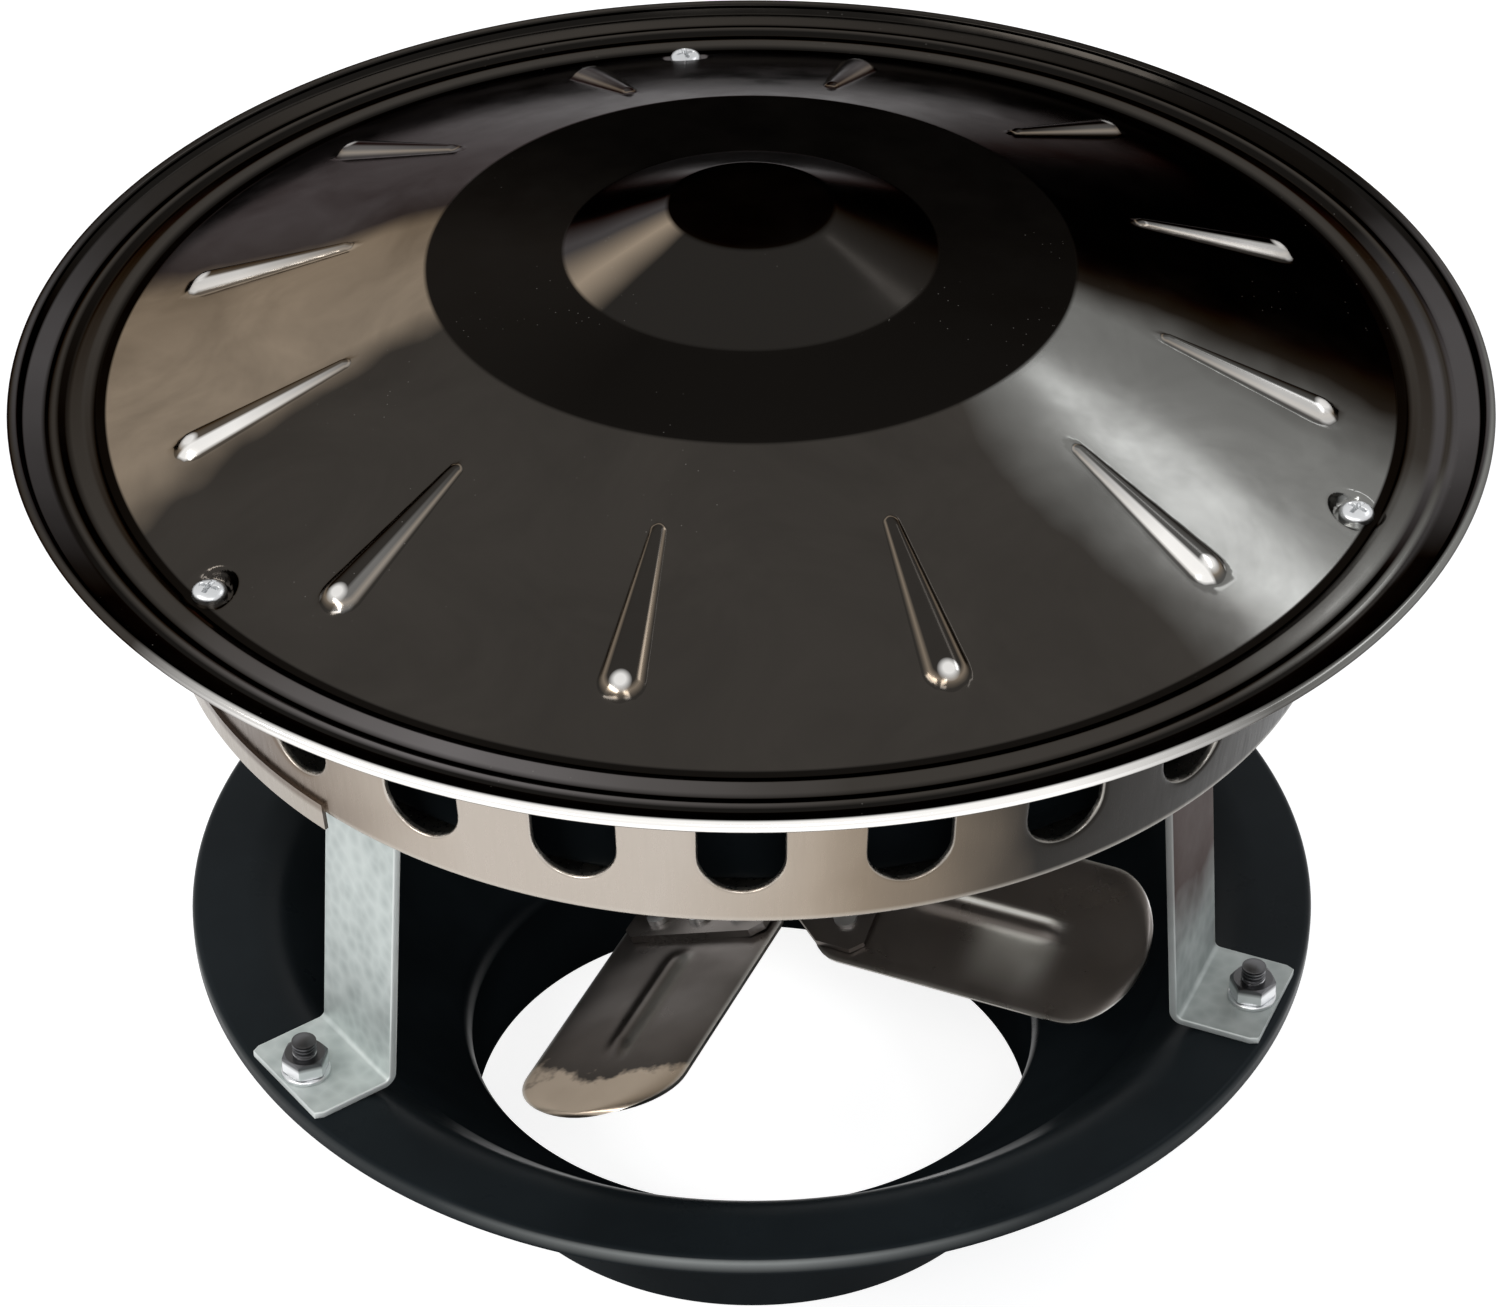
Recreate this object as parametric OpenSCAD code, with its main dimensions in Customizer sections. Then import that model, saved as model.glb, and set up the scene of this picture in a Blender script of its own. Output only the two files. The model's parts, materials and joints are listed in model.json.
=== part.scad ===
// Chimney-top exhaust fan: a funnel base for a round flue, three Z-shaped legs, a slotted motor
// housing under a ribbed rain hat, and a four-blade impeller on the motor's shaft.
// Millimetres. The axis of the fan is Z and the flue spigot stands on z = 0.

/* [Funnel base] */
// Outer radius of the flue spigot
neck_r = 75; // [60:0.5:90]
// Height of the spigot's corner, where the funnel begins
neck_h = 34; // [25:0.5:50]
// Width of the flat flange, from its rim to the funnel's slope
flange_w = 19.6; // [18:0.1:30]
// Height of the flange's top above the spigot's edge
flange_z = 84; // [70:1:110]
// Outer radius of the flange
rim_r = 143.6; // [136:0.1:165]
// Height of the flange's turned-down lip
lip_h = 4.6; // [4:0.2:8]
// Thickness of the base's sheet
base_t = 1; // [0.8:0.1:2]

/* [Legs] */
// Width of a leg's flat bar
leg_w = 30; // [20:1:40]
// Thickness of a leg's flat bar
leg_t = 2; // [1.5:0.25:4]
// Distance from the flange's rim to the end of a leg's foot
foot_margin = 2.2; // [1.5:0.1:5]
// Distance from the pan's lower edge in to a leg's outer face
leg_inset = 28; // [24:0.5:34]
// Length of a leg's foot
foot_len = 20.8; // [19:0.1:22]
// Length of a leg's top flange
leg_flange = 22; // [18:0.5:28]
// Direction of the first leg, in degrees
leg_az = -143.4; // [-180:0.1:180]
// Free height between the flange and the pan
gap_h = 101; // [80:1:140]
// Nominal radius of the leg bolts
bolt_r = 3; // [2.5:0.5:4]

/* [Motor housing] */
// Radius of the pan's lower edge
pan_r = 141; // [136:0.5:143]
// Radius of the pan's wall under its top flange
pan_top_r = 145.6; // [144:0.1:148]
// Height of the pan
pan_h = 50.2; // [46:0.2:64]
// Thickness of the pan's sheet
pan_t = 0.8; // [0.6:0.1:1.5]
// Width of the pan's top flange
pan_flange = 10; // [9:0.5:12]
// Thickness of the pan's floor
floor_t = 1.2; // [1:0.1:2.5]
// Number of cooling slots
slot_n = 24; // [12:1:28]
// Width of a cooling slot
slot_w = 19.4; // [8:0.2:24]
// Height of a cooling slot
slot_h = 28; // [26:0.5:32]
// Gap between the pan's wall and the inner motor cover
cover_gap = 10.2; // [8:0.2:14]
// Height of the inner motor cover
cover_h = 43; // [20:1:44]

/* [Rain hat] */
// Outer radius of the hat
hat_r = 175; // [173:0.5:200]
// Thickness of the hat's sheet
hat_t = 0.8; // [0.6:0.1:1.2]
// Rise of the main cone
cone_rise = 31.3; // [28:0.1:45]
// Outer radius of the nearly flat ring
ring_r = 76; // [70:0.5:82]
// Rise of the ring towards the crown
ring_rise = 3.3; // [2:0.1:8]
// Outer radius of the crown
crown_r = 43.7; // [30:0.1:55]
// Radius of the crown's flat top
crown_top_r = 19.5; // [10:0.1:25]
// Rise of the crown
crown_rise = 11.4; // [6:0.1:20]
// Depth of the gutter below the hat's rim
gutter_depth = 4; // [3.5:0.1:5]
// Radius of the rolled edge's bead
bead_r = 1.4; // [1.2:0.1:2]
// Number of pressed ribs
rib_n = 12; // [6:1:16]
// Length of a pressed rib
rib_len = 42.6; // [25:0.5:50]
// Width of a rib's outer end
rib_w = 11; // [8:0.5:14]
// Width of a rib's inner end
rib_tip_w = 4; // [3:0.5:6]
// Height of a rib's outer end
rib_h = 2.5; // [1.5:0.1:3.5]

/* [Impeller] */
// Gap between the blade tips and the legs
tip_gap = 12.1; // [5:0.1:35]
// Width of a blade
blade_w = 45.7; // [30:0.1:48]
// Thickness of a blade
blade_t = 1.2; // [1:0.1:2]
// Pitch of the blades, in degrees
pitch = 22; // [10:1:30]
// Length of a blade's rounded tip
tip_len = 15.6; // [8:0.1:22]
// Height of the blades' middle above the flange
fan_rise = 4; // [2:0.5:12]
// Direction of the first blade, in degrees
blade_az = -113.1; // [-180:0.1:180]
// Radius of the hub's barrel
hub_r = 15; // [12:0.5:18]
// Radius of the motor's shaft
shaft_r = 4; // [3:0.25:5]

/* [Motor] */
// Outer radius of the stator's stack
stator_r = 45; // [42:0.5:50]
// Height of the stator's stack
stator_h = 32; // [20:1:36]
// Outer radius of the rotor's core
rotor_r = 24.6; // [18:0.2:26]
// Wall of the end shields outside the stator
shield_wall = 3; // [2:0.25:4]

/* [Hidden] */

$fn = 96;
cut = 0.5;              // how far a cutter runs past a face
bolt_gap = 0.3;         // radial clearance of a bolt in its hole
seat_gap = 0.05;        // clearance of pieces that are pushed together
run_gap = 0.03;         // radial running clearance of the shaft in its bearings
air_gap = 0.4;          // radial gap between rotor and stator
bend_steps = 6;         // straight steps in one bend of a sheet profile

// Funnel base
funnel_r = rim_r - flange_w;
neck_bend = 11;
shoulder_bend = 15;
rim_bend = 1;
foot_edge = 6.4;        // from the foot's end to its bolt
foot_end_r = rim_r - foot_margin;
foot_bolt_r = foot_end_r - foot_edge;
leg_foot_r = foot_end_r - foot_len;

// Legs
leg_bend = 1.5;
pan_z = flange_z + gap_h;
floor_rise = 1;         // the floor sits this far above the pan's lower edge
floor_z = pan_z + floor_rise;
floor_top = floor_z + floor_t;
leg_top_r = pan_r - leg_inset;
flange_offset = 1;      // from the middle of a leg's top flange to its bolt
leg_top_bolt_r = leg_top_r - leg_flange / 2 - flange_offset;
foot_corner = 2;        // clipped corner of a foot

// Bolts, nuts and washers: metric proportions from the bolt's radius
function across_flats(r) = r <= 2 ? 7 : r <= 3 ? 10 : 13;
function nut_h(r) = 1.65 * r;
function hex_r(r) = across_flats(r) / 2 / cos(30);
washer_r = 2 * bolt_r;
washer_t = 1.2;
bolt_tail = 4;          // thread standing out of a nut
head_h = 4;

// Motor housing
pan_bend = 1;
flange_bend = 0.4;
taper = atan2(pan_top_r - pan_r, pan_h - pan_t);
cover_r = min(pan_r, pan_top_r) - pan_t - cover_gap;
pan_top_z = pan_z + pan_h;
slot_az = -90.9;
slot_rise = 9;          // from the pan's lower edge to a slot's lowest point
slot_cut_in = 8;        // where a slot's cutter starts, inside the pan's lower edge
slot_cut_len = 20;      // length of a slot's cutter
lip_rise = 5;           // height of the floor's turned-up lip
strap_t = 1;
strap_drop = 4.5;
strap_rise = 3;
strap_az = -158;
strap_sweep = 25;
cover_foot = 10;
cover_t = 0.8;
cover_screw_r = cover_r - cover_foot / 2;

// Rain hat
hat_z = pan_top_z + gutter_depth + hat_t;
screw_r = 2;            // radius of the hat's screws
nut_place_z = pan_top_z - pan_t - nut_h(screw_r);
screw_edge = across_flats(screw_r) / 2 + flange_bend;
hat_screw_r = max(pan_top_r, pan_face(nut_place_z)) + screw_edge;
screw_to_valley = 2.8;  // from the hat's screws to the foot of its cone
valley_in = hat_screw_r + screw_to_valley;
valley_w = 2.2;
screw_tail = 1;         // thread standing out of a small nut
gutter_ridges = [[5.1, 2.7], [9.1, 3.9], [12.1, 2.9], [14.1, 3.6]];  // [distance from the cone, depth]
edge_in = 3.5;          // from the hat's edge to the wall of its rim
edge_drop = 2.8;        // from the hat's rim plane to the foot of that wall
bead_in = 2.4;          // from the hat's edge to the root of its bead
cutter_h = 10;          // height of the hat's upright cutters
rib_margin = 4;         // from the ring and the gutter to the zone of the ribs
foot_z = hat_z - gutter_depth;
ring_z = foot_z + cone_rise;
crown_z = ring_z + ring_rise;
top_z = crown_z + crown_rise;
cone_slope = atan2(cone_rise, valley_in - ring_r);
rib_az = -101.9;
rib_end_gap = 13.3;     // from the gutter to a rib's outer end
rib_tip_h = 1.2;
dimple_r = 5.5;
screw_head_r = 4;
screw_head_h = 2.6;

// Impeller
fan_z = flange_z + fan_rise;
tip_r = leg_foot_r - leg_t - tip_gap;
blade_root = 24;
root_corner = 8;
arm_t = 2;
arm_end = 38;
arm_side = 2.5;         // from a blade's long edge to its arm's
arm_w = blade_w - 2 * arm_side;
arm_taper = 12;         // length of an arm's parallel end
arm_corner = 3;
arm_root = 9;           // where an arm starts inside the barrel
arm_neck = 7.5;         // half width of an arm there
crease_in = 44;
crease_end = 86;
crease_w = 9;
crease_h = 1.8;
barrel_drop = 8;
barrel_rise = 12;
set_screw_drop = 4;     // from the barrel's top to its set screw
set_screw_sunk = 1;     // depth of the set screw's end below the barrel's surface
rivet_r = 1.6;
rivet_head_r = 3;
rivet_head_h = 1.3;
rivet_at = 31;
rivet_pitch = 12;

// Motor, from the pan's floor upwards
shield_r = stator_r + shield_wall;
shield_plate = 3.5;
shield_h = 19;
rabbet = 3;
bearing_r = 11;
bearing_h = 7;
seat_wall = 1;          // depth of the bearing's seat below the boss's inner face
seat_step = 3;          // width of the step that carries the bearing
race_t = 1.8;
boss_r = 14;
boss_out = 2;
boss_in = 8;
ear_r = 6;
ear_h = 5;
tie_r = 2;
tie_gap = 1;            // between the end shields' wall and the tie bolts
tie_circle = shield_r + tie_r + tie_gap;
tie_az = 45;
stack_z = floor_top + shield_h - rabbet;
stack_top = stack_z + stator_h;
motor_top = stack_top + shield_h - rabbet;
stator_bore = rotor_r + air_gap;
winding_n = 12;
winding_slot_r = 2.5;
tooth = 3;              // steel between the stator's bore and its slots
winding_mid = stator_bore + winding_slot_r + tooth;
coil_r = 5;
shaft_stub = 5;         // shaft above the motor
shaft_top = motor_top + shaft_stub;
hub_nut_z = fan_z - barrel_drop - washer_t;
shaft_tail = 2;         // shaft below its nut
shaft_end = hub_nut_z - nut_h(shaft_r) - shaft_tail;

// Fittings on the floor
grommet_at = 78;        // radius at which it stands
grommet_az = 37;
grommet_hole = 8;
grommet_bore = 3.5;
block_at = 84;
block_az = 60;
block_len = 30;
block_w = 16;
block_h = 14;
block_screw = 10.5;     // from the block's middle to its screws
block_well = 3;
wire_gap = 5;
wire_r = 1.6;
cap_at = 82;
cap_az = 155;
cap_len = 40;
cap_w = 20;
cap_h = 28;
cap_tab = 12;
m3_r = 1.5;
m3_head_r = 2.8;
m3_head_h = 2;
m3_tail = 3;            // thread below the floor
cover_screw_az = 37;

// ---------- sheet profiles ----------

function unit(v) = v / norm(v);
function left(v) = [-v[1], v[0]];
function cross2(a, b) = a[0] * b[1] - a[1] * b[0];

// A corner of the path, moved by h to the left of the way the path runs
function mitre(a, b, c, h) =
    let (n1 = left(unit(b - a)), n2 = left(unit(c - b)))
    b + h * (n1 + n2) / (1 + n1 * n2);

// The points of an arc of radius r that rounds corner b between a and c
function bend(a, b, c, r) =
    let (u = unit(a - b), v = unit(c - b), turn = acos(max(-1, min(1, u * v))))
    r <= 0 || turn > 179.9 ? [b] :
    let (back = r / tan(turn / 2), mid = b + unit(u + v) * r / sin(turn / 2),
         p = b + u * back - mid, q = b + v * back - mid,
         sweep = (180 - turn) * sign(cross2(p, q)), a0 = atan2(p[1], p[0]))
    [for (i = [0 : bend_steps]) let (a = a0 + sweep * i / bend_steps) mid + r * [cos(a), sin(a)]];

// One face of a sheet that follows a path; radii holds the inside radius of each corner
function face(path, radii, h, t) =
    let (n = len(path),
         moved = [for (i = [0 : n - 1])
             i == 0 ? path[0] + h * left(unit(path[1] - path[0])) :
             i == n - 1 ? path[i] + h * left(unit(path[i] - path[i - 1])) :
             mitre(path[i - 1], path[i], path[i + 1], h)])
    [for (i = [0 : n - 1])
        let (inside = i > 0 && i < n - 1 ? radii[i - 1] : 0,
             turn = i > 0 && i < n - 1 ? cross2(path[i] - path[i - 1], path[i + 1] - path[i]) : 0)
        each inside <= 0 ? [moved[i]] :
            bend(moved[i - 1], moved[i], moved[i + 1], inside + (turn > 0 ? t - h : h))];

function reversed(p) = [for (i = [len(p) - 1 : -1 : 0]) p[i]];

// The closed outline of a sheet of thickness t, lying to the left of its path
function sheet(path, radii, t) = concat(face(path, radii, 0, t), reversed(face(path, radii, t, t)));

module revolve(outline) {
    rotate_extrude() polygon(outline);
}

// ---------- shared pieces ----------

module at(r, az) {
    rotate(az) translate([r, 0, 0]) children();
}

module by_three(az = leg_az) {
    for (i = [0 : 2]) rotate(az + 120 * i) children();
}

module tube(r_out, r_in, h) {
    difference() {
        cylinder(r = r_out, h = h);
        translate([0, 0, -cut]) cylinder(r = r_in, h = h + 2 * cut);
    }
}

// Hexagon nut standing on its own z = 0, with a flat facing outwards
module hex_nut(r) {
    difference() {
        rotate(30) cylinder(r = hex_r(r), h = nut_h(r), $fn = 6);
        translate([0, 0, -cut]) cylinder(r = r + seat_gap, h = nut_h(r) + 2 * cut);
    }
}

// Hexagon bolt: its head hangs below z = 0 and its thread ends at z = length
module hex_bolt(r, length) {
    rotate(30) translate([0, 0, -head_h]) cylinder(r = hex_r(r), h = head_h, $fn = 6);
    cylinder(r = r, h = length);
}

// Pan-head screw: its head stands on z = 0 and its thread reaches down by length
module pan_screw(r, head_r, h, length) {
    rim = h / 3;
    difference() {
        rotate_extrude() polygon([[0, 0], [head_r, 0], [head_r, rim], [head_r * 0.8, h * 0.8],
                                  [head_r * 0.45, h], [0, h]]);
        for (a = [0, 90]) rotate(a) translate([-head_r * 0.5, -h / 8, h * 0.55]) cube([head_r, h / 4, h]);
    }
    translate([0, 0, -length]) cylinder(r = r, h = length + cut);
}

// Outline of half a teardrop that is turned about its length: big end at 0, small end at y = length
function teardrop(big, small, length) =
    let (tilt = asin((big - small) / length), steps = 5)
    concat([for (i = [0 : steps]) let (a = -90 + (90 + tilt) * i / steps) big * [cos(a), sin(a)]],
           [for (i = [0 : steps]) let (a = tilt + (90 - tilt) * i / steps)
               [small * cos(a), length + small * sin(a)]]);

// Radius of the ball that stands out by h over a footprint of half width a
function ball(a, h) = (a * a + h * h) / (2 * h);

// ---------- base and legs ----------

module base_funnel() {
    path = [[neck_r, 0], [neck_r, neck_h], [funnel_r, flange_z - base_t], [rim_r - base_t, flange_z - base_t],
            [rim_r - base_t, flange_z - lip_h]];
    color([0.05, 0.08, 0.09]) difference() {
        revolve(sheet(path, [neck_bend, shoulder_bend, rim_bend], base_t));
        by_three() translate([foot_bolt_r, 0, flange_z - base_t - cut])
            cylinder(r = bolt_r + bolt_gap, h = base_t + 2 * cut);
    }
}

module leg(i) {
    foot_z = flange_z + leg_t;
    path = [[foot_end_r, foot_z], [leg_foot_r, foot_z], [leg_top_r, floor_z],
            [leg_top_r - leg_flange, floor_z]];
    color([0.72, 0.74, 0.74]) rotate(leg_az + 120 * i) difference() {
        rotate([90, 0, 0]) translate([0, 0, -leg_w / 2]) linear_extrude(leg_w)
            polygon(sheet(path, [leg_bend, leg_bend], leg_t));
        translate([foot_bolt_r, 0, flange_z - cut]) cylinder(r = bolt_r + bolt_gap, h = leg_t + 2 * cut);
        translate([leg_top_bolt_r, 0, floor_z - leg_t - cut])
            cylinder(r = bolt_r + bolt_gap, h = leg_t + 2 * cut);
        for (s = [-1, 1]) translate([foot_end_r, s * leg_w / 2, flange_z - cut]) rotate(45)
            translate([-foot_corner / sqrt(2), -foot_corner / sqrt(2), 0])
                cube([foot_corner * sqrt(2), foot_corner * sqrt(2), leg_t + 2 * cut]);
    }
}

module foot_bolts() {
    stack = base_t + leg_t + washer_t + nut_h(bolt_r) + bolt_tail;
    color([0.75, 0.76, 0.77]) by_three() translate([foot_bolt_r, 0, flange_z - base_t])
        hex_bolt(bolt_r, stack);
}

module foot_washers() {
    color([0.8, 0.81, 0.82]) by_three() translate([foot_bolt_r, 0, flange_z + leg_t])
        tube(washer_r, bolt_r + bolt_gap, washer_t);
}

module foot_nuts() {
    color([0.75, 0.76, 0.77]) by_three() translate([foot_bolt_r, 0, flange_z + leg_t + washer_t])
        hex_nut(bolt_r);
}

module leg_top_bolts() {
    stack = leg_t + floor_t + nut_h(bolt_r) + bolt_tail / 2;
    color([0.75, 0.76, 0.77]) by_three() translate([leg_top_bolt_r, 0, floor_z - leg_t])
        hex_bolt(bolt_r, stack);
}

module leg_top_nuts() {
    color([0.75, 0.76, 0.77]) by_three() translate([leg_top_bolt_r, 0, floor_top]) hex_nut(bolt_r);
}

// ---------- motor housing ----------

// Radius of the pan's outer face at height z
function pan_face(z) = pan_r + (z - pan_z) * tan(taper);

module pan_floor() {
    edge = pan_t / cos(taper) + seat_gap;
    lip_z = floor_top + lip_rise;
    path = [[0, floor_z], [pan_face(floor_z) - edge, floor_z], [pan_face(lip_z) - edge, lip_z]];
    color([0.6, 0.58, 0.55]) difference() {
        revolve(sheet(path, [pan_bend], floor_t));
        translate([0, 0, floor_z - cut]) cylinder(r = boss_r + bolt_gap, h = floor_t + 2 * cut);
        for (i = [0 : 3]) at(tie_circle, tie_az + 90 * i) translate([0, 0, floor_z - cut])
            cylinder(r = tie_r + bolt_gap, h = floor_t + 2 * cut);
        by_three() translate([leg_top_bolt_r, 0, floor_z - cut])
            cylinder(r = bolt_r + bolt_gap, h = floor_t + 2 * cut);
        at(grommet_at, grommet_az) translate([0, 0, floor_z - cut])
            cylinder(r = grommet_hole, h = floor_t + 2 * cut);
        floor_screw_places() translate([0, 0, floor_z - cut])
            cylinder(r = m3_r + seat_gap, h = floor_t + 2 * cut);
    }
}

module pan_band() {
    top = pan_top_z - pan_t;
    path = [[pan_r, pan_z], [pan_top_r, top], [pan_top_r + pan_flange, top]];
    slot_low = pan_z + slot_rise + slot_w / 2;
    slot_high = pan_z + slot_rise + slot_h - slot_w / 2;
    color([0.72, 0.68, 0.62]) difference() {
        revolve(sheet(path, [flange_bend], pan_t));
        for (i = [0 : slot_n - 1]) rotate(slot_az + 360 / slot_n * i) translate([pan_r - slot_cut_in, 0, 0]) {
            for (z = [slot_low, slot_high]) translate([0, 0, z]) rotate([0, 90, 0])
                cylinder(r = slot_w / 2, h = slot_cut_len);
            translate([0, -slot_w / 2, slot_low]) cube([slot_cut_len, slot_w, slot_high - slot_low]);
        }
        by_three() translate([hat_screw_r, 0, top - cut])
            cylinder(r = screw_r + bolt_gap, h = pan_t + 2 * cut);
    }
}

module seam_strap() {
    low = pan_z - strap_drop;
    high = pan_z + strap_rise;
    color([0.7, 0.66, 0.62]) rotate(strap_az) rotate_extrude(angle = strap_sweep)
        polygon([[pan_face(low), low], [pan_face(low) + strap_t, low], [pan_face(high) + strap_t, high],
                 [pan_face(high), high]]);
}

module motor_cover() {
    path = [[cover_r, floor_top + cover_h], [cover_r, floor_top], [cover_r - cover_foot, floor_top]];
    color([0.04, 0.04, 0.05]) difference() {
        revolve(reversed_sheet(path, [pan_bend], cover_t));
        by_three(cover_screw_az) translate([cover_screw_r, 0, floor_top - cut])
            cylinder(r = m3_r + seat_gap, h = cover_t + 2 * cut);
    }
}

// A sheet that lies to the right of its path
function reversed_sheet(path, radii, t) = sheet(reversed(path), reversed(radii), t);

// Where the small screws stand: the cover's foot, the terminal block and the capacitor
module cover_screw_places() {
    by_three(cover_screw_az) translate([cover_screw_r, 0, 0]) children();
}

module block_screw_places() {
    for (s = [-1, 1]) at(block_at, block_az) translate([0, s * block_screw, 0]) children();
}

module cap_screw_place() {
    at(cap_at, cap_az) translate([0, -cap_len / 2 - cap_tab / 2, 0]) children();
}

module floor_screw_places() {
    cover_screw_places() children();
    block_screw_places() children();
    cap_screw_place() children();
}

// A small screw that stands h above the floor and reaches through it
module floor_screw(h) {
    translate([0, 0, floor_top + h]) pan_screw(m3_r, m3_head_r, m3_head_h, h + floor_t + m3_tail);
}

module floor_screws() {
    color([0.7, 0.7, 0.7]) {
        cover_screw_places() floor_screw(cover_t);
        block_screw_places() floor_screw(block_h / 2);
        cap_screw_place() floor_screw(cover_t);
    }
}

// ---------- motor ----------

// A cast end shield: z = 0 is its outer face and the stator lies above it
module end_shield() {
    difference() {
        union() {
            cylinder(r = shield_r, h = shield_plate);
            tube(shield_r, stator_r - rabbet, shield_h);
            translate([0, 0, -boss_out]) cylinder(r = boss_r, h = boss_out + boss_in);
            for (i = [0 : 3]) at(tie_circle, tie_az + 90 * i) cylinder(r = ear_r, h = ear_h);
        }
        translate([0, 0, shield_h - rabbet]) cylinder(r = stator_r + seat_gap, h = rabbet + cut);
        translate([0, 0, boss_in - bearing_h - seat_wall])
            cylinder(r = bearing_r, h = bearing_h + seat_wall + cut);
        translate([0, 0, -boss_out - cut]) cylinder(r = bearing_r - seat_step, h = boss_out + boss_in + cut);
        for (i = [0 : 3]) at(tie_circle, tie_az + 90 * i) translate([0, 0, -cut])
            cylinder(r = tie_r + bolt_gap, h = ear_h + 2 * cut);
    }
}

module lower_shield() {
    color([0.62, 0.63, 0.64]) translate([0, 0, floor_top]) end_shield();
}

module upper_shield() {
    color([0.62, 0.63, 0.64]) translate([0, 0, motor_top]) mirror([0, 0, 1]) end_shield();
}

module stator_core() {
    color([0.35, 0.36, 0.38]) translate([0, 0, stack_z]) difference() {
        tube(stator_r, stator_bore, stator_h);
        for (i = [0 : winding_n - 1]) at(winding_mid, 360 / winding_n * i) translate([0, 0, -cut])
            cylinder(r = winding_slot_r, h = stator_h + 2 * cut);
    }
}

module stator_windings() {
    color([0.72, 0.36, 0.14]) {
        for (z = [stack_z - coil_r, stack_top + coil_r]) translate([0, 0, z])
            rotate_extrude() translate([winding_mid + coil_r / 2, 0]) circle(r = coil_r, $fn = 24);
        for (i = [0 : winding_n - 1]) at(winding_mid, 360 / winding_n * i) translate([0, 0, stack_z - coil_r])
            cylinder(r = winding_slot_r - seat_gap, h = stator_h + 2 * coil_r);
    }
}

module motor_tie_bolts() {
    grip = floor_t + motor_top - floor_top + nut_h(tie_r) + screw_tail;
    color([0.75, 0.76, 0.77]) for (i = [0 : 3]) at(tie_circle, tie_az + 90 * i) translate([0, 0, floor_z])
        mirror([0, 0, 1]) pan_screw(tie_r, screw_head_r, screw_head_h, grip);
}

module motor_tie_nuts() {
    color([0.75, 0.76, 0.77]) for (i = [0 : 3]) at(tie_circle, tie_az + 90 * i) translate([0, 0, motor_top])
        hex_nut(tie_r);
}

// A shielded ball bearing, z = 0 at its lower face
module ball_bearing() {
    bore = shaft_r + run_gap;
    groove = 0.5;
    inner = bore + race_t;
    outer = bearing_r - race_t;
    rotate_extrude() polygon([[bore, 0], [inner, 0], [inner, groove], [outer, groove], [outer, 0],
                              [bearing_r - seat_gap, 0], [bearing_r - seat_gap, bearing_h], [outer, bearing_h],
                              [outer, bearing_h - groove], [inner, bearing_h - groove], [inner, bearing_h],
                              [bore, bearing_h]]);
}

module lower_bearing() {
    color([0.8, 0.8, 0.82]) translate([0, 0, floor_top + boss_in - bearing_h - seat_wall]) ball_bearing();
}

module upper_bearing() {
    color([0.8, 0.8, 0.82]) translate([0, 0, motor_top - boss_in + seat_wall]) ball_bearing();
}

module motor_shaft() {
    color([0.7, 0.71, 0.73]) translate([0, 0, shaft_end]) cylinder(r = shaft_r, h = shaft_top - shaft_end);
}

module rotor_core() {
    overhang = 2;
    color([0.45, 0.46, 0.48]) translate([0, 0, stack_z - overhang])
        tube(rotor_r, shaft_r + seat_gap / 5, stator_h + 2 * overhang);
}

module terminal_block() {
    color([0.85, 0.84, 0.78]) at(block_at, block_az) translate([0, 0, floor_top]) difference() {
        translate([-block_w / 2, -block_len / 2, 0]) cube([block_w, block_len, block_h]);
        for (s = [-1, 1]) translate([0, s * block_screw, -cut]) {
            cylinder(r = m3_r + seat_gap, h = block_h + 2 * cut);
            translate([0, 0, cut + block_h / 2]) cylinder(r = block_well, h = block_h);
        }
        for (s = [-1, 0, 1]) translate([block_w / 4, s * wire_gap, block_h / 2])
            cylinder(r = wire_r, h = block_h);
    }
}

module run_capacitor() {
    color([0.88, 0.88, 0.86]) at(cap_at, cap_az) translate([0, 0, floor_top]) difference() {
        union() {
            translate([-cap_w / 2, -cap_len / 2, 0]) cube([cap_w, cap_len, cap_h]);
            translate([-cap_tab / 2, -cap_len / 2 - cap_tab, 0]) cube([cap_tab, cap_tab + cut, cover_t]);
        }
        translate([0, -cap_len / 2 - cap_tab / 2, -cut]) cylinder(r = m3_r + seat_gap, h = cover_t + 2 * cut);
    }
}

module cable_grommet() {
    lip = 2;
    body_r = grommet_hole - seat_gap;
    color([0.08, 0.08, 0.08]) at(grommet_at, grommet_az) translate([0, 0, floor_z]) rotate_extrude()
        polygon([[grommet_bore, -lip], [body_r + lip, -lip], [body_r + lip, 0], [body_r, 0], [body_r, floor_t],
                 [body_r + lip, floor_t], [body_r + lip / 2, floor_t + lip], [grommet_bore, floor_t + lip]]);
}

// ---------- rain hat ----------

// Height of the main cone's outer face at radius r
function cone_face(r) = foot_z + (valley_in - r) * tan(cone_slope);

// The pressed shape of the hat's top face, from its rim to its centre
hat_path = concat(
    [[hat_r - bead_in, hat_z - bead_r], [hat_r - edge_in, hat_z - edge_drop]],
    [for (ridge = reversed(gutter_ridges)) [valley_in + ridge[0], hat_z - ridge[1]]],
    [[valley_in + valley_w, foot_z], [valley_in, foot_z], [ring_r, ring_z], [crown_r, crown_z],
     [crown_top_r, top_z], [0, top_z]]);
hat_bends = [0, 0, 0, 0, 0.4, 0.4, 0.4, 3, 3, 3];

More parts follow.
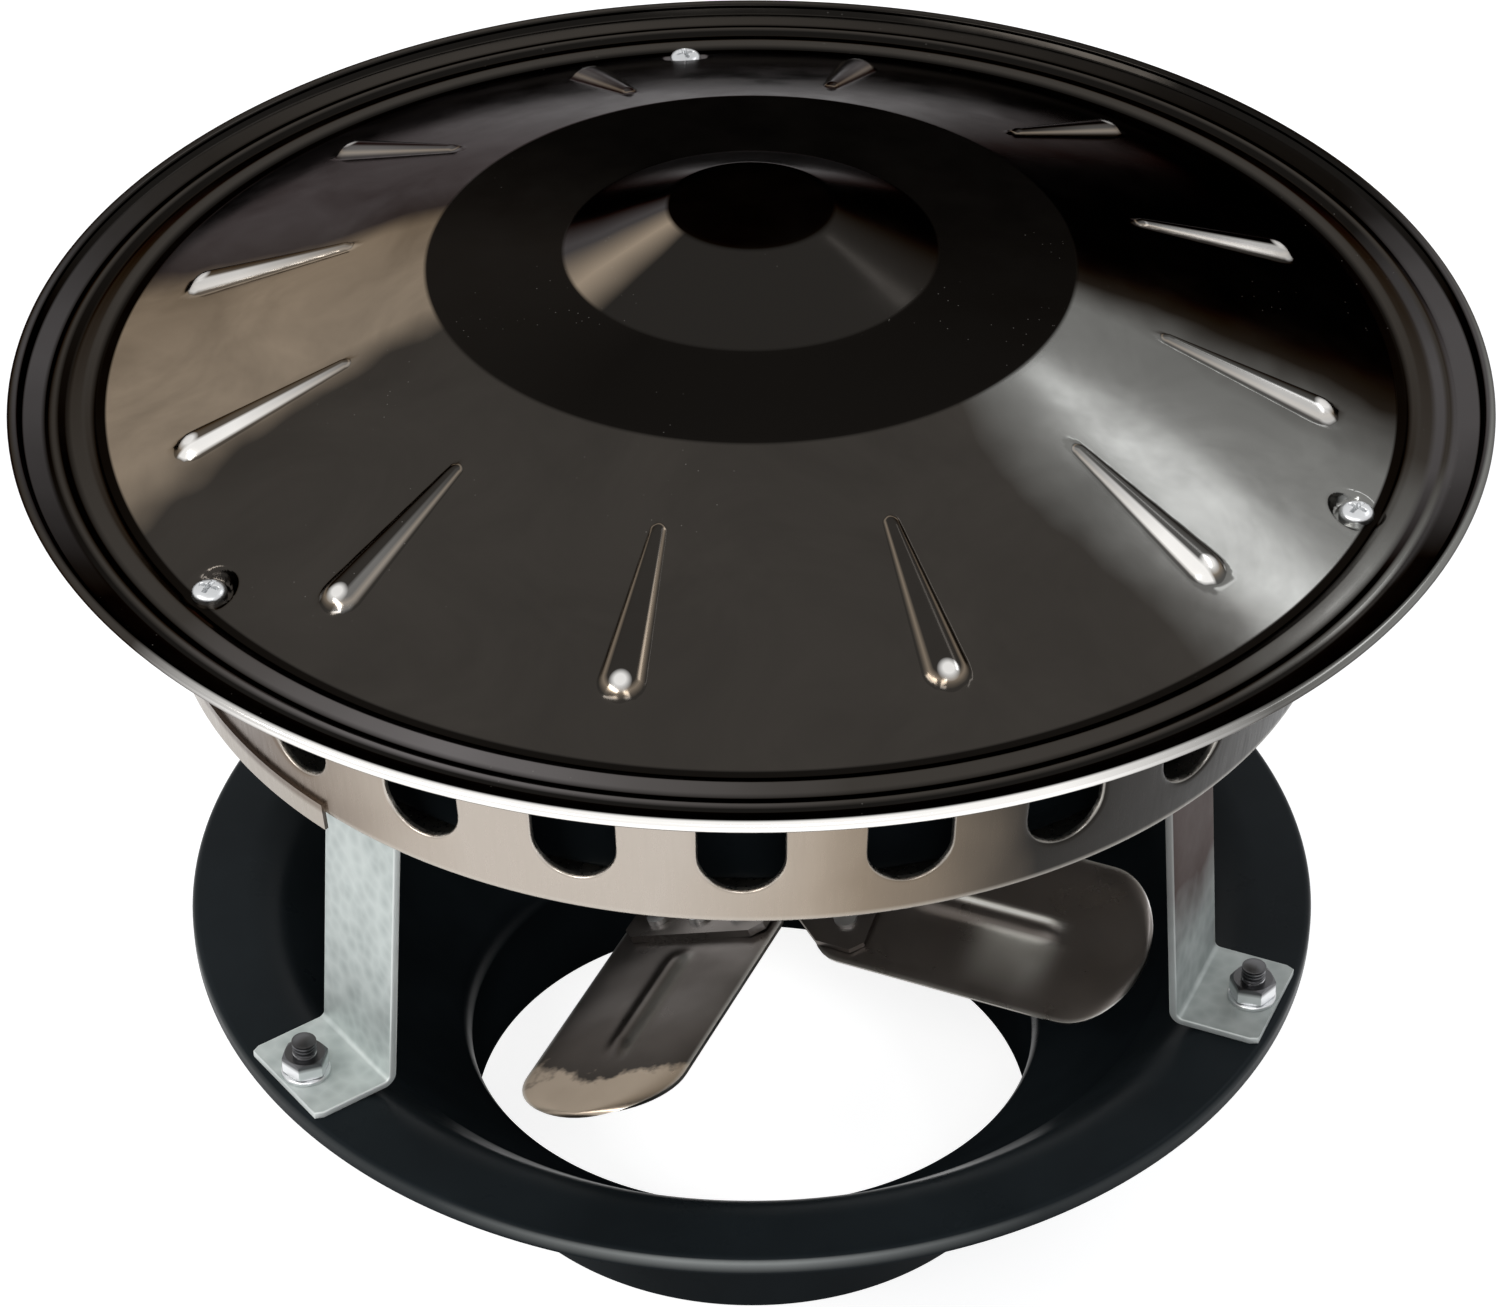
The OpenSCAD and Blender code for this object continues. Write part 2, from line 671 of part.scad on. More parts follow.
// One rib, its axis in the plane of x and z
module hat_rib() {
    big = ball(rib_w / 2, rib_h);
    small = ball(rib_tip_w / 2, rib_tip_h);
    r_out = valley_in - rib_end_gap - rib_w / 2 * cos(cone_slope);
    r_in = valley_in - rib_end_gap - (rib_len - rib_tip_w / 2) * cos(cone_slope);
    p = [r_out, cone_face(r_out)] - (big - rib_h) * [sin(cone_slope), cos(cone_slope)];
    q = [r_in, cone_face(r_in)] - (small - rib_tip_h) * [sin(cone_slope), cos(cone_slope)];
    translate([p[0], 0, p[1]]) rotate([0, atan2(q[0] - p[0], q[1] - p[1]), 0])
        rotate_extrude($fn = 48) polygon(teardrop(big, small, norm(q - p)));
}

// All that lies above the middle of the main cone's sheet
module above_cone() {
    in = ring_r + rib_margin;
    out = valley_in - rib_margin;
    drop = hat_t / 2 / cos(cone_slope);
    rotate_extrude()
        polygon([[in, cone_face(in) - drop], [out, cone_face(out) - drop], [out, top_z], [in, top_z]]);
}

// All that lies below the middle of the hat's sheet, near its screws
module below_face() {
    in = hat_screw_r - dimple_r - 2 * hat_t;
    low = foot_z - hat_t;
    mid = hat_t / 2;
    out = valley_in + valley_w / 2;
    rotate_extrude() polygon([[in, low], [out, low], [out, foot_z - mid], [valley_in, foot_z - mid],
                              [in, cone_face(in) - mid / cos(cone_slope)]]);
}

module hat() {
    color([0.22, 0.19, 0.17]) difference() {
        union() {
            revolve(sheet(hat_path, hat_bends, hat_t));
            intersection() {
                for (i = [0 : rib_n - 1]) rotate(rib_az + 360 / rib_n * i) hat_rib();
                above_cone();
            }
            translate([0, 0, hat_z - bead_r]) rotate_extrude()
                translate([hat_r - bead_r, 0]) circle(r = bead_r, $fn = 24);
            intersection() {
                by_three() translate([hat_screw_r, 0, foot_z - hat_t])
                    cylinder(r = dimple_r + hat_t, h = cutter_h);
                below_face();
            }
        }
        by_three() translate([hat_screw_r, 0, foot_z]) cylinder(r = dimple_r, h = cutter_h);
        by_three() translate([hat_screw_r, 0, foot_z - hat_t - cut])
            cylinder(r = screw_r + bolt_gap, h = cutter_h);
    }
}

module hat_screws() {
    thread = hat_t + pan_t + nut_h(screw_r) + screw_tail;
    color([0.8, 0.8, 0.8]) by_three() translate([hat_screw_r, 0, foot_z])
        pan_screw(screw_r, screw_head_r, screw_head_h, thread);
}

module hat_nuts() {
    color([0.75, 0.76, 0.77]) by_three() translate([hat_screw_r, 0, nut_place_z]) hex_nut(screw_r);
}

// ---------- impeller ----------

// Places a blade's own frame: x outwards, y along the turn, z up from the pitched blade
module blade_frame(i) {
    translate([0, 0, fan_z]) rotate(blade_az + 90 * i) rotate([pitch, 0, 0]) children();
}

function blade_outline() =
    let (half = blade_w / 2, steps = 16)
    concat([for (i = [0 : 4]) let (a = 180 + 90 * i / 4)
               [blade_root + root_corner, -half + root_corner] + root_corner * [cos(a), sin(a)]],
           [for (i = [0 : steps]) let (a = -90 + 180 * i / steps)
               [tip_r - tip_len + tip_len * cos(a), half * sin(a)]],
           [for (i = [0 : 4]) let (a = 90 + 90 * i / 4)
               [blade_root + root_corner, half - root_corner] + root_corner * [cos(a), sin(a)]]);

// The pressed stiffener along a blade
module crease(shrink) {
    big = ball(crease_w / 2, crease_h);
    length = crease_end - crease_in - crease_w;
    translate([crease_in + crease_w / 2, 0, blade_t / 2 + crease_h - big]) rotate([0, 90, 0]) {
        cylinder(r = big - shrink, h = length);
        for (x = [0, length]) translate([0, 0, x]) sphere(r = big - shrink);
    }
}

module rivet_places() {
    for (w = [-1, 0, 1]) translate([rivet_at, w * rivet_pitch, 0]) children();
}

module blade(i) {
    color([0.3, 0.28, 0.27]) blade_frame(i) difference() {
        union() {
            translate([0, 0, -blade_t / 2]) linear_extrude(blade_t) polygon(blade_outline());
            intersection() {
                crease(0);
                translate([crease_in - blade_w, -blade_w / 2, -blade_t / 2]) cube([tip_r, blade_w, blade_w]);
            }
        }
        crease(blade_t);
        rivet_places() translate([0, 0, -blade_t]) cylinder(r = rivet_r, h = 2 * blade_t);
    }
}

module hub_spider() {
    half = arm_w / 2;
    arm = [[arm_root, -arm_neck], [arm_end - arm_taper, -half], [arm_end - arm_corner, -half],
           [arm_end, -half + arm_corner], [arm_end, half - arm_corner], [arm_end - arm_corner, half],
           [arm_end - arm_taper, half], [arm_root, arm_neck]];
    color([0.5, 0.5, 0.5]) difference() {
        union() {
            translate([0, 0, fan_z - barrel_drop]) cylinder(r = hub_r, h = barrel_drop + barrel_rise);
            for (i = [0 : 3]) blade_frame(i) translate([0, 0, blade_t / 2]) linear_extrude(arm_t) polygon(arm);
        }
        translate([0, 0, fan_z - barrel_drop - cut])
            cylinder(r = shaft_r + seat_gap, h = barrel_drop + barrel_rise + 2 * cut);
        hub_screw_place() cylinder(r = screw_r + seat_gap, h = hub_r);
        for (i = [0 : 3]) blade_frame(i) rivet_places() cylinder(r = rivet_r, h = blade_t + 2 * arm_t);
    }
}

// The set screw's axis, pointing out of the barrel between two arms
module hub_screw_place() {
    translate([0, 0, fan_z + barrel_rise - set_screw_drop]) rotate(blade_az + 45) rotate([0, 90, 0])
        children();
}

module hub_set_screw() {
    color([0.2, 0.2, 0.2]) hub_screw_place() translate([0, 0, shaft_r])
        cylinder(r = screw_r, h = hub_r - shaft_r - set_screw_sunk);
}

module hub_washer() {
    color([0.8, 0.81, 0.82]) translate([0, 0, hub_nut_z]) tube(2 * shaft_r, shaft_r + seat_gap, washer_t);
}

module hub_nut() {
    color([0.75, 0.76, 0.77]) translate([0, 0, hub_nut_z - nut_h(shaft_r)]) hex_nut(shaft_r);
}

module blade_rivets() {
    color([0.7, 0.7, 0.7]) for (i = [0 : 3]) blade_frame(i) rivet_places() {
        translate([0, 0, -blade_t / 2 - rivet_head_h]) cylinder(r = rivet_head_r, h = rivet_head_h);
        translate([0, 0, -blade_t / 2]) cylinder(r = rivet_r, h = blade_t + arm_t);
        translate([0, 0, blade_t / 2 + arm_t]) cylinder(r = rivet_head_r, h = rivet_head_h);
    }
}

// ---------- nodes ----------

base_funnel();
leg(0);  // leg_left
leg(1);  // leg_right
leg(2);  // leg_rear
foot_bolts();
foot_washers();
foot_nuts();
leg_top_bolts();
leg_top_nuts();
pan_floor();
pan_band();
seam_strap();
motor_cover();
floor_screws();
lower_shield();
upper_shield();
stator_core();
stator_windings();
motor_tie_bolts();
motor_tie_nuts();
lower_bearing();
upper_bearing();
terminal_block();
run_capacitor();
cable_grommet();
hat();
hat_screws();
hat_nuts();
motor_shaft();
rotor_core();
hub_spider();
hub_set_screw();
hub_washer();
hub_nut();
blade(0);  // blade_1
blade(1);  // blade_2
blade(2);  // blade_3
blade(3);  // blade_4
blade_rivets();
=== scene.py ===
"""Looks of the chimney-top exhaust fan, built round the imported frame. Blender 4.5."""

import json
import math
import random

import bmesh
import bpy
import numpy as np
from mathutils import Euler, Matrix, Vector


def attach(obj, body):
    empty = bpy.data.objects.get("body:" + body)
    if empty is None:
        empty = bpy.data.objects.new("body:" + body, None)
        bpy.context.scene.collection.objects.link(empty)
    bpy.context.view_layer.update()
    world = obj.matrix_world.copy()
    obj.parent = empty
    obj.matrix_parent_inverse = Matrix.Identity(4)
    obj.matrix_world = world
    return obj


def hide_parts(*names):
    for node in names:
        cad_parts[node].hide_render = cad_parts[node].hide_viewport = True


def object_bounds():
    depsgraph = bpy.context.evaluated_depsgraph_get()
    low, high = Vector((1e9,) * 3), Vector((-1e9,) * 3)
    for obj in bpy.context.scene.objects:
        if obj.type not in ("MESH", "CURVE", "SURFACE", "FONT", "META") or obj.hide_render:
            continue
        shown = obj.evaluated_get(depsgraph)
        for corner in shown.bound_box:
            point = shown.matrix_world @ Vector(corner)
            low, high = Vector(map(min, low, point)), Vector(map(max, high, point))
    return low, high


random.seed(7)
MM = 0.001
HOUSING = "housing"
FAN = "impeller"

# ---------- sizes, in millimetres and degrees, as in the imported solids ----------

FLANGE_Z = 84.0                     # top of the funnel's rim
FLOOR_Z = 186.0                     # top of the legs, under the pan's floor
PAN_Z, PAN_TOP = 185.0, 235.2       # the pan wall's lower edge and the top of its flange
HAT_Z, HAT_R = 240.0, 175.0         # the hat's rim: its top and its radius
FAN_Z, PITCH = 88.0, 22.0           # the impeller's hub and its blades' pitch
LEG_AZ, BLADE_AZ, RIB_AZ, SLOT_AZ = -143.4, -113.1, -101.9, -90.9

PAN_R, PAN_TOP_R = 141.0, 145.6
PAN_T = 0.8
PAN_FLARE = (PAN_TOP_R - PAN_R) / (PAN_TOP - PAN_T - PAN_Z)
SLOTS = 24
SLOT_W = 19.4
SLOT_LOW, SLOT_HIGH = PAN_Z + 9.0, PAN_Z + 37.0

VALLEY_IN = 152.3
FOOT_Z = HAT_Z - 4.0
RING_R, RING_Z = 76.0, HAT_Z + 27.3
CROWN_R, CROWN_Z = 43.7, HAT_Z + 30.6
TOP_R, TOP_Z = 19.5, HAT_Z + 42.0
HAT_T = 0.8
BEAD_R = 1.4
CONE_SLOPE = math.atan2(RING_Z - FOOT_Z, VALLEY_IN - RING_R)
RIBS = [RIB_AZ + 30 * k for k in range(12)]
RIB_OUT, RIB_IN = 139.0, 96.4
RIB_W, RIB_TIP_W = 5.5, 2.0
RIB_H, RIB_TIP_H = 2.5, 1.2
HAT_SCREW_R = 149.5
SCREW_AZ = [LEG_AZ + 120 * k for k in range(3)]
SEAT_R, SEAT_EDGE = 5.2, 1.6        # the flat seats of the hat's screws, and the slope round them

BASE_T, BASE_RIM_R, BASE_LIP = 1.0, 143.6, 4.6
LEG_T, LEG_W = 2.0, 30.0
BLADE_ROOT, BLADE_TIP, BLADE_HALF = 24.0, 106.5, 22.85
BLADE_CORNER, BLADE_ROUND = 8.0, 15.6
BLADE_T = 1.2

FOOT_BOLT_R = 135.0
WASHER_T = 1.2
NUT_FLATS, NUT_H = 10.0, 4.95
BOLT_R, BOLT_HEAD, BOLT_BEYOND = 3.0, 4.0, 4.0


def rib_ends():
    """Distances up the cone's slope, from the axis, of the middles of a rib's two round ends."""
    along = math.cos(CONE_SLOPE)
    return (RIB_OUT - RIB_W * along) / along, (RIB_IN + RIB_TIP_W * along) / along


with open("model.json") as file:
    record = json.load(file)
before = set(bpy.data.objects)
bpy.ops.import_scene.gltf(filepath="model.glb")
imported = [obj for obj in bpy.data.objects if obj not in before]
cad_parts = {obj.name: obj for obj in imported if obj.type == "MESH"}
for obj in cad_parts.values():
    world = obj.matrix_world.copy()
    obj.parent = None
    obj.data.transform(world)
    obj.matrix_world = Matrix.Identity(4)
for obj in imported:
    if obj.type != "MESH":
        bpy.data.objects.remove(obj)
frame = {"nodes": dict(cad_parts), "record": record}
cad_low, cad_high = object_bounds()


# ---------- camera, lights, floor ----------

def make_camera():
    """The photograph's view: a long lens, from in front and 37 degrees up."""
    data = bpy.data.cameras.new("camera")
    data.sensor_fit = "HORIZONTAL"
    data.sensor_width = 36.0
    data.lens = 108.0
    data.clip_start = 0.05
    data.clip_end = 20.0
    cam = bpy.data.objects.new("camera", data)
    cam.location = (0.0, -0.8928, 0.8262)
    down, yaw, roll = 37.05, 0.03, 0.07
    cam.rotation_euler = Euler((math.radians(90 - down), math.radians(roll), math.radians(-yaw)))
    bpy.context.collection.objects.link(cam)
    bpy.context.scene.camera = cam


def area_light(name, place, target, size, power, colour=(1, 1, 1)):
    """A strip light of the given length that faces the target."""
    data = bpy.data.lights.new(name, "AREA")
    data.shape = "RECTANGLE"
    data.size = size
    data.energy = power
    data.color = colour
    lamp = bpy.data.objects.new(name, data)
    lamp.location = place
    lamp.rotation_euler = (Vector(target) - Vector(place)).to_track_quat("-Z", "Y").to_euler()
    bpy.context.collection.objects.link(lamp)


def make_world():
    """Soft grey fill light; camera, mirrors and glass see a white backdrop."""
    world = bpy.data.worlds.new("world")
    bpy.context.scene.world = world
    world.use_nodes = True
    tree = world.node_tree
    tree.nodes.clear()
    out = tree.nodes.new("ShaderNodeOutputWorld")
    fill = tree.nodes.new("ShaderNodeBackground")
    fill.inputs["Color"].default_value = (0.92, 0.95, 1.0, 1)
    fill.inputs["Strength"].default_value = 0.45
    white = tree.nodes.new("ShaderNodeBackground")
    white.inputs["Color"].default_value = (1, 1, 1, 1)
    white.inputs["Strength"].default_value = 1.0
    mix = tree.nodes.new("ShaderNodeMixShader")
    tree.links.new(seen_directly(tree), mix.inputs[0])
    tree.links.new(fill.outputs[0], mix.inputs[1])
    tree.links.new(white.outputs[0], mix.inputs[2])
    tree.links.new(mix.outputs[0], out.inputs[0])


def seen_directly(tree):
    """1 for camera, glossy and transmission rays."""
    path = tree.nodes.new("ShaderNodeLightPath")
    total = path.outputs["Is Camera Ray"]
    for name in ("Is Glossy Ray", "Is Transmission Ray"):
        add = tree.nodes.new("ShaderNodeMath")
        add.operation = "MAXIMUM"
        tree.links.new(total, add.inputs[0])
        tree.links.new(path.outputs[name], add.inputs[1])
        total = add.outputs[0]
    return total


def make_floor():
    """A pale sheet of paper, a hair under the part, that glows for the camera and in mirrors."""
    reach, gap = 6.0, 0.0002
    bm = bmesh.new()
    bmesh.ops.create_grid(bm, x_segments=1, y_segments=1, size=reach)
    mesh = bpy.data.meshes.new("floor")
    bm.to_mesh(mesh)
    bm.free()
    floor = bpy.data.objects.new("floor", mesh)
    floor.location = (0, 0, cad_low.z - gap)
    bpy.context.collection.objects.link(floor)
    mat = bpy.data.materials.new("floor_paper")
    mat.use_nodes = True
    tree = mat.node_tree
    tree.nodes.clear()
    out = tree.nodes.new("ShaderNodeOutputMaterial")
    paper = tree.nodes.new("ShaderNodeBsdfDiffuse")
    paper.inputs["Color"].default_value = (0.55, 0.55, 0.55, 1)
    glow = tree.nodes.new("ShaderNodeEmission")
    glow.inputs["Strength"].default_value = 0.84
    mix = tree.nodes.new("ShaderNodeAddShader")
    gate = tree.nodes.new("ShaderNodeMixShader")
    tree.links.new(paper.outputs[0], mix.inputs[0])
    tree.links.new(glow.outputs[0], mix.inputs[1])
    tree.links.new(seen_directly(tree), gate.inputs[0])
    tree.links.new(paper.outputs[0], gate.inputs[1])
    tree.links.new(mix.outputs[0], gate.inputs[2])
    tree.links.new(gate.outputs[0], out.inputs[0])
    mesh.materials.append(mat)


# ---------- materials ----------

class Shader:
    """A short way to write a procedural Principled material in object coordinates."""

    def __init__(self, name, colour, metallic=0.0, roughness=0.5, **constants):
        self.mat = bpy.data.materials.new(name)
        self.mat.use_nodes = True
        self.tree = self.mat.node_tree
        self.bsdf = self.tree.nodes["Principled BSDF"]
        self.bsdf.inputs["Base Color"].default_value = (*colour, 1)
        self.bsdf.inputs["Metallic"].default_value = metallic
        self.bsdf.inputs["Roughness"].default_value = roughness
        for key, value in constants.items():
            self.bsdf.inputs[key.replace("_", " ")].default_value = value
        self.place = self.tree.nodes.new("ShaderNodeTexCoord").outputs["Object"]

    def stretched(self, scale, rotation=(0, 0, 0)):
        """Object coordinates, scaled and turned, for a noise that runs one way."""
        node = self.tree.nodes.new("ShaderNodeMapping")
        node.inputs["Scale"].default_value = scale
        node.inputs["Rotation"].default_value = rotation
        self.tree.links.new(self.place, node.inputs["Vector"])
        return node.outputs[0]

    def noise(self, scale, detail=3.0, rough=0.5, vector=None, distortion=0.0):
        node = self.tree.nodes.new("ShaderNodeTexNoise")
        node.inputs["Scale"].default_value = scale
        node.inputs["Detail"].default_value = detail
        node.inputs["Roughness"].default_value = rough
        node.inputs["Distortion"].default_value = distortion
        self.tree.links.new(vector if vector else self.place, node.inputs["Vector"])
        return node.outputs["Fac"]

    def spots(self, scale):
        node = self.tree.nodes.new("ShaderNodeTexVoronoi")
        node.inputs["Scale"].default_value = scale
        self.tree.links.new(self.place, node.inputs["Vector"])
        return node.outputs["Distance"]

    def wander(self, reach, *noise):
        """A noise round zero, to bend a straight edge with."""
        return self.times(self.minus(self.noise(*noise), 0.5), reach)

    def painted(self, name):
        """The value painted on the mesh under that name."""
        node = self.tree.nodes.new("ShaderNodeAttribute")
        node.attribute_name = name
        return node.outputs["Fac"]

    def ramp(self, value, stops):
        """A colour, or a grey level, by stops."""
        node = self.tree.nodes.new("ShaderNodeValToRGB")
        items = node.color_ramp.elements
        while len(items) < len(stops):
            items.new(0.5)
        for item, (at, colour) in zip(items, stops):
            item.position = at
            item.color = (*(colour if isinstance(colour, tuple) else grey(colour)), 1)
        self.tree.links.new(value, node.inputs[0])
        return node.outputs[0]

    def spread(self, value, low, high, from_low=0.3, from_high=0.7):
        """The range from_low to from_high stretched to low to high."""
        node = self.tree.nodes.new("ShaderNodeMapRange")
        for key, number in zip(("From Min", "From Max", "To Min", "To Max"), (from_low, from_high, low, high)):
            node.inputs[key].default_value = number
        self.tree.links.new(value, node.inputs["Value"])
        return node.outputs[0]

    def feed(self, socket, value):
        """Set the socket to a number or a colour, or link it to another node."""
        if isinstance(value, (int, float)):
            socket.default_value = value
        elif isinstance(value, tuple):
            socket.default_value = (*value, 1)
        else:
            self.tree.links.new(value, socket)

    def maths(self, operation, *values):
        node = self.tree.nodes.new("ShaderNodeMath")
        node.operation = operation
        for socket, value in zip(node.inputs, values):
            self.feed(socket, value)
        return node.outputs[0]

    def times(self, a, b):
        return self.maths("MULTIPLY", a, b)

    def plus(self, a, b):
        return self.maths("ADD", a, b)

    def minus(self, a, b):
        return self.maths("SUBTRACT", a, b)

    def length(self, a, b):
        return self.maths("SQRT", self.plus(self.times(a, a), self.times(b, b)))

    def blend(self, factor, a, b):
        """Colour a where the factor is 0, and b where it is 1."""
        node = self.tree.nodes.new("ShaderNodeMix")
        node.data_type = "RGBA"
        self.feed(node.inputs[0], factor)
        for socket, value in zip([s for s in node.inputs if s.type == "RGBA"], (a, b)):
            self.feed(socket, value)
        return [s for s in node.outputs if s.type == "RGBA"][0]

    def split(self):
        node = self.tree.nodes.new("ShaderNodeSeparateXYZ")
        self.tree.links.new(self.place, node.inputs[0])
        return node.outputs

    def polar(self):
        """Radius in metres and direction in turns (0 to 1, from -X counter-clockwise)."""
        x, y, z = self.split()
        turn = self.plus(self.maths("DIVIDE", self.maths("ARCTAN2", y, x), 2 * math.pi), 0.5)
        return self.length(x, y), turn, z

    def step_at(self, value, edge, width):
        """0 below the edge and 1 above it, over the given width; a negative width turns it round."""
        half = abs(width) / 2
        return self.spread(value, *((0.0, 1.0) if width > 0 else (1.0, 0.0)), edge - half, edge + half)

    def patched(self, turn, ground, patches):
        """The ground with soft patches on it: each a tone, then its middle, half its width and its edge, in turns."""
        for tone, middle, half, soft in patches:
            off = self.maths("FRACT", self.plus(turn, 1.5 - middle))
            off = self.maths("ABSOLUTE", self.minus(off, 0.5))
            ground = self.blend(self.step_at(off, half, -soft), ground, tone)
        return ground

    def use(self, socket, value):
        """Link the value to a socket of the Principled shader."""
        self.tree.links.new(value, self.bsdf.inputs[socket])

    def bump(self, value, distance, strength, after=None):
        """Relief from the value, over the relief given as after."""
        node = self.tree.nodes.new("ShaderNodeBump")
        node.inputs["Distance"].default_value = distance
        node.inputs["Strength"].default_value = strength
        self.tree.links.new(value, node.inputs["Height"])
        if after:
            self.tree.links.new(after, node.inputs["Normal"])
        self.tree.links.new(node.outputs[0], self.bsdf.inputs["Normal"])
        return node.outputs[0]


# Round tones for what polished and satin steel mirror in a studio, from a dark corner to a lit wall.
BLACK = (0.01, 0.009, 0.008)
NEAR_BLACK = (0.02, 0.018, 0.016)
DARK = (0.045, 0.04, 0.035)
STEEL = (0.08, 0.075, 0.075)
HAZE = (0.14, 0.13, 0.13)
COOL = (0.2, 0.2, 0.19)
SHADE = (0.15, 0.12, 0.1)
TAN = (0.3, 0.24, 0.18)
SAND = (0.45, 0.4, 0.35)
PALE = (0.95, 0.93, 0.9)

WARM_GREY = (0.4, 0.38, 0.35)       # dust on the hat
NUT_TOP_SHADE = (0.11, 0.11, 0.115)          # painted shade on the threads and tops of nuts
RIGHT_LEG_SHADE = (0.04, 0.018, 0.014)        # what the right leg mirrors, high up


def grey(level):
    return (level, level, level)


def mottled(s, tone, colour, low=0.78, high=1.15, end=0.7):
    """The colour, darker and lighter with the tone of a noise."""
    return s.ramp(tone, [(0.3, tuple(c * low for c in colour)), (end, tuple(min(1, c * high) for c in colour))])


def polished_stainless():
    """Dark mirror-polished steel: painted reflections in light and dark patches round the cone, a dull ring, and a
    bright rolled edge that is a painted highlight.
    """
    s = Shader("polished_stainless", (0.05, 0.042, 0.038), metallic=1.0, roughness=0.16)
    s.bsdf.inputs["Specular Tint"].default_value = (0.32, 0.31, 0.31, 1)
    radius, turn, _ = s.polar()
    mm = s.times(radius, 1000.0)
    swirl = s.plus(turn, s.wander(0.05, 16.0, 3.0, 0.6))
    # painted reflections: the tones mirrored by the cone, ring, crown and pressed steps, set by direction round the
    # axis
    cone = s.patched(swirl, DARK, [(NEAR_BLACK, 0.58, 0.1, 0.04), (HAZE, 0.84, 0.115, 0.06), (TAN, 0.01, 0.048, 0.02),
                                   (COOL, 0.42, 0.05, 0.03)])
    cone = s.blend(s.spread(s.noise(26.0, 4.0, 0.6, distortion=0.8), 0.0, 0.35), cone, NEAR_BLACK)
    ring = s.patched(swirl, BLACK, [(NEAR_BLACK, 0.0, 0.08, 0.16)])
    crown = s.patched(swirl, NEAR_BLACK, [(STEEL, 0.0, 0.03, 0.06), (TAN, 0.06, 0.025, 0.05), (STEEL, 0.73, 0.05, 0.14)])
    ridge = s.patched(swirl, DARK, [(HAZE, 0.19, 0.04, 0.08), (COOL, 0.41, 0.02, 0.08)])
    flat = s.patched(swirl, BLACK, [(STEEL, 0.0, 0.04, 0.1), (STEEL, 0.5, 0.05, 0.06), (DARK, 0.8, 0.1, 0.15)])
    shallow = s.patched(swirl, BLACK, [(STEEL, 0.485, 0.05, 0.06)])
    # painted highlight along the front of the rolled edge, with painted reflections round the rest of it
    lip = s.patched(turn, DARK, [(COOL, 0.45, 0.09, 0.1), (PALE, 0.235, 0.1, 0.05)])
    gutter = BLACK
    # the pressed steps outside the cone: where each begins (mm), how softly, and its painted reflection tone
    for start, soft, finish in ((155.4, 1.2, ridge), (161.0, 1.6, shallow), (163.6, 0.9, ridge), (165.2, 0.9, shallow),
                                (166.8, 1.0, flat), (171.4, 0.5, BLACK), (172.7, 0.5, flat), (173.7, 0.7, lip)):
        gutter = s.blend(s.step_at(mm, start, soft), gutter, finish)
    tone = s.blend(s.step_at(mm, TOP_R, 1.2), BLACK, crown)
    tone = s.blend(s.step_at(mm, CROWN_R, 1.0), tone, ring)
    tone = s.blend(s.step_at(mm, RING_R, 1.0), tone, cone)
    # painted highlights and shade on the ribs: a light outline, a darker inside, highlight lines along the side ribs
    # and a highlight on each outer end
    edge, inside, glint, streak = hat_rib_masks(s, mm, turn)
    tone = s.blend(s.times(inside, 0.55), tone, NEAR_BLACK)
    tone = s.blend(s.times(edge, 0.6), tone, TAN)
    # how strongly the painted highlight lines show, by direction round the axis
    lit = s.patched(turn, grey(0.1), [(grey(0.0), 0.26, 0.08, 0.04), (grey(0.9), 0.03, 0.07, 0.08),
                                      (grey(0.5), 0.5, 0.07, 0.06), (grey(1.0), 0.395, 0.035, 0.03)])
    tone = s.blend(s.times(streak, lit), tone, PALE)
    tone = s.blend(glint, tone, PALE)
    tone = s.blend(s.step_at(mm, VALLEY_IN - 0.1, 0.6), tone, gutter)
    speck = s.step_at(s.spots(420.0), 0.06, -0.03)
    rare = s.step_at(s.noise(22.0, 2.0, 0.5), 0.6, 0.05)
    tone = s.blend(s.times(s.times(speck, rare), 0.25), tone, WARM_GREY)
    s.use("Base Color", tone)
    dull = s.minus(s.step_at(mm, CROWN_R, 1.0), s.step_at(mm, RING_R, 1.0))
    fine = s.spread(s.noise(60.0, 4.0, 0.6), 0.1, 0.2)
    s.use("Roughness", s.plus(fine, s.times(dull, 0.25)))
    wave = s.noise(30.0, 2.0, 0.5)
    scratch = s.noise(40.0, 2.0, 0.5, s.stretched((1, 14, 1), (0, 0, 0.7)))
    s.bump(scratch, 0.00002, 0.1, s.bump(wave, 0.0012, 0.06))
    return s.mat


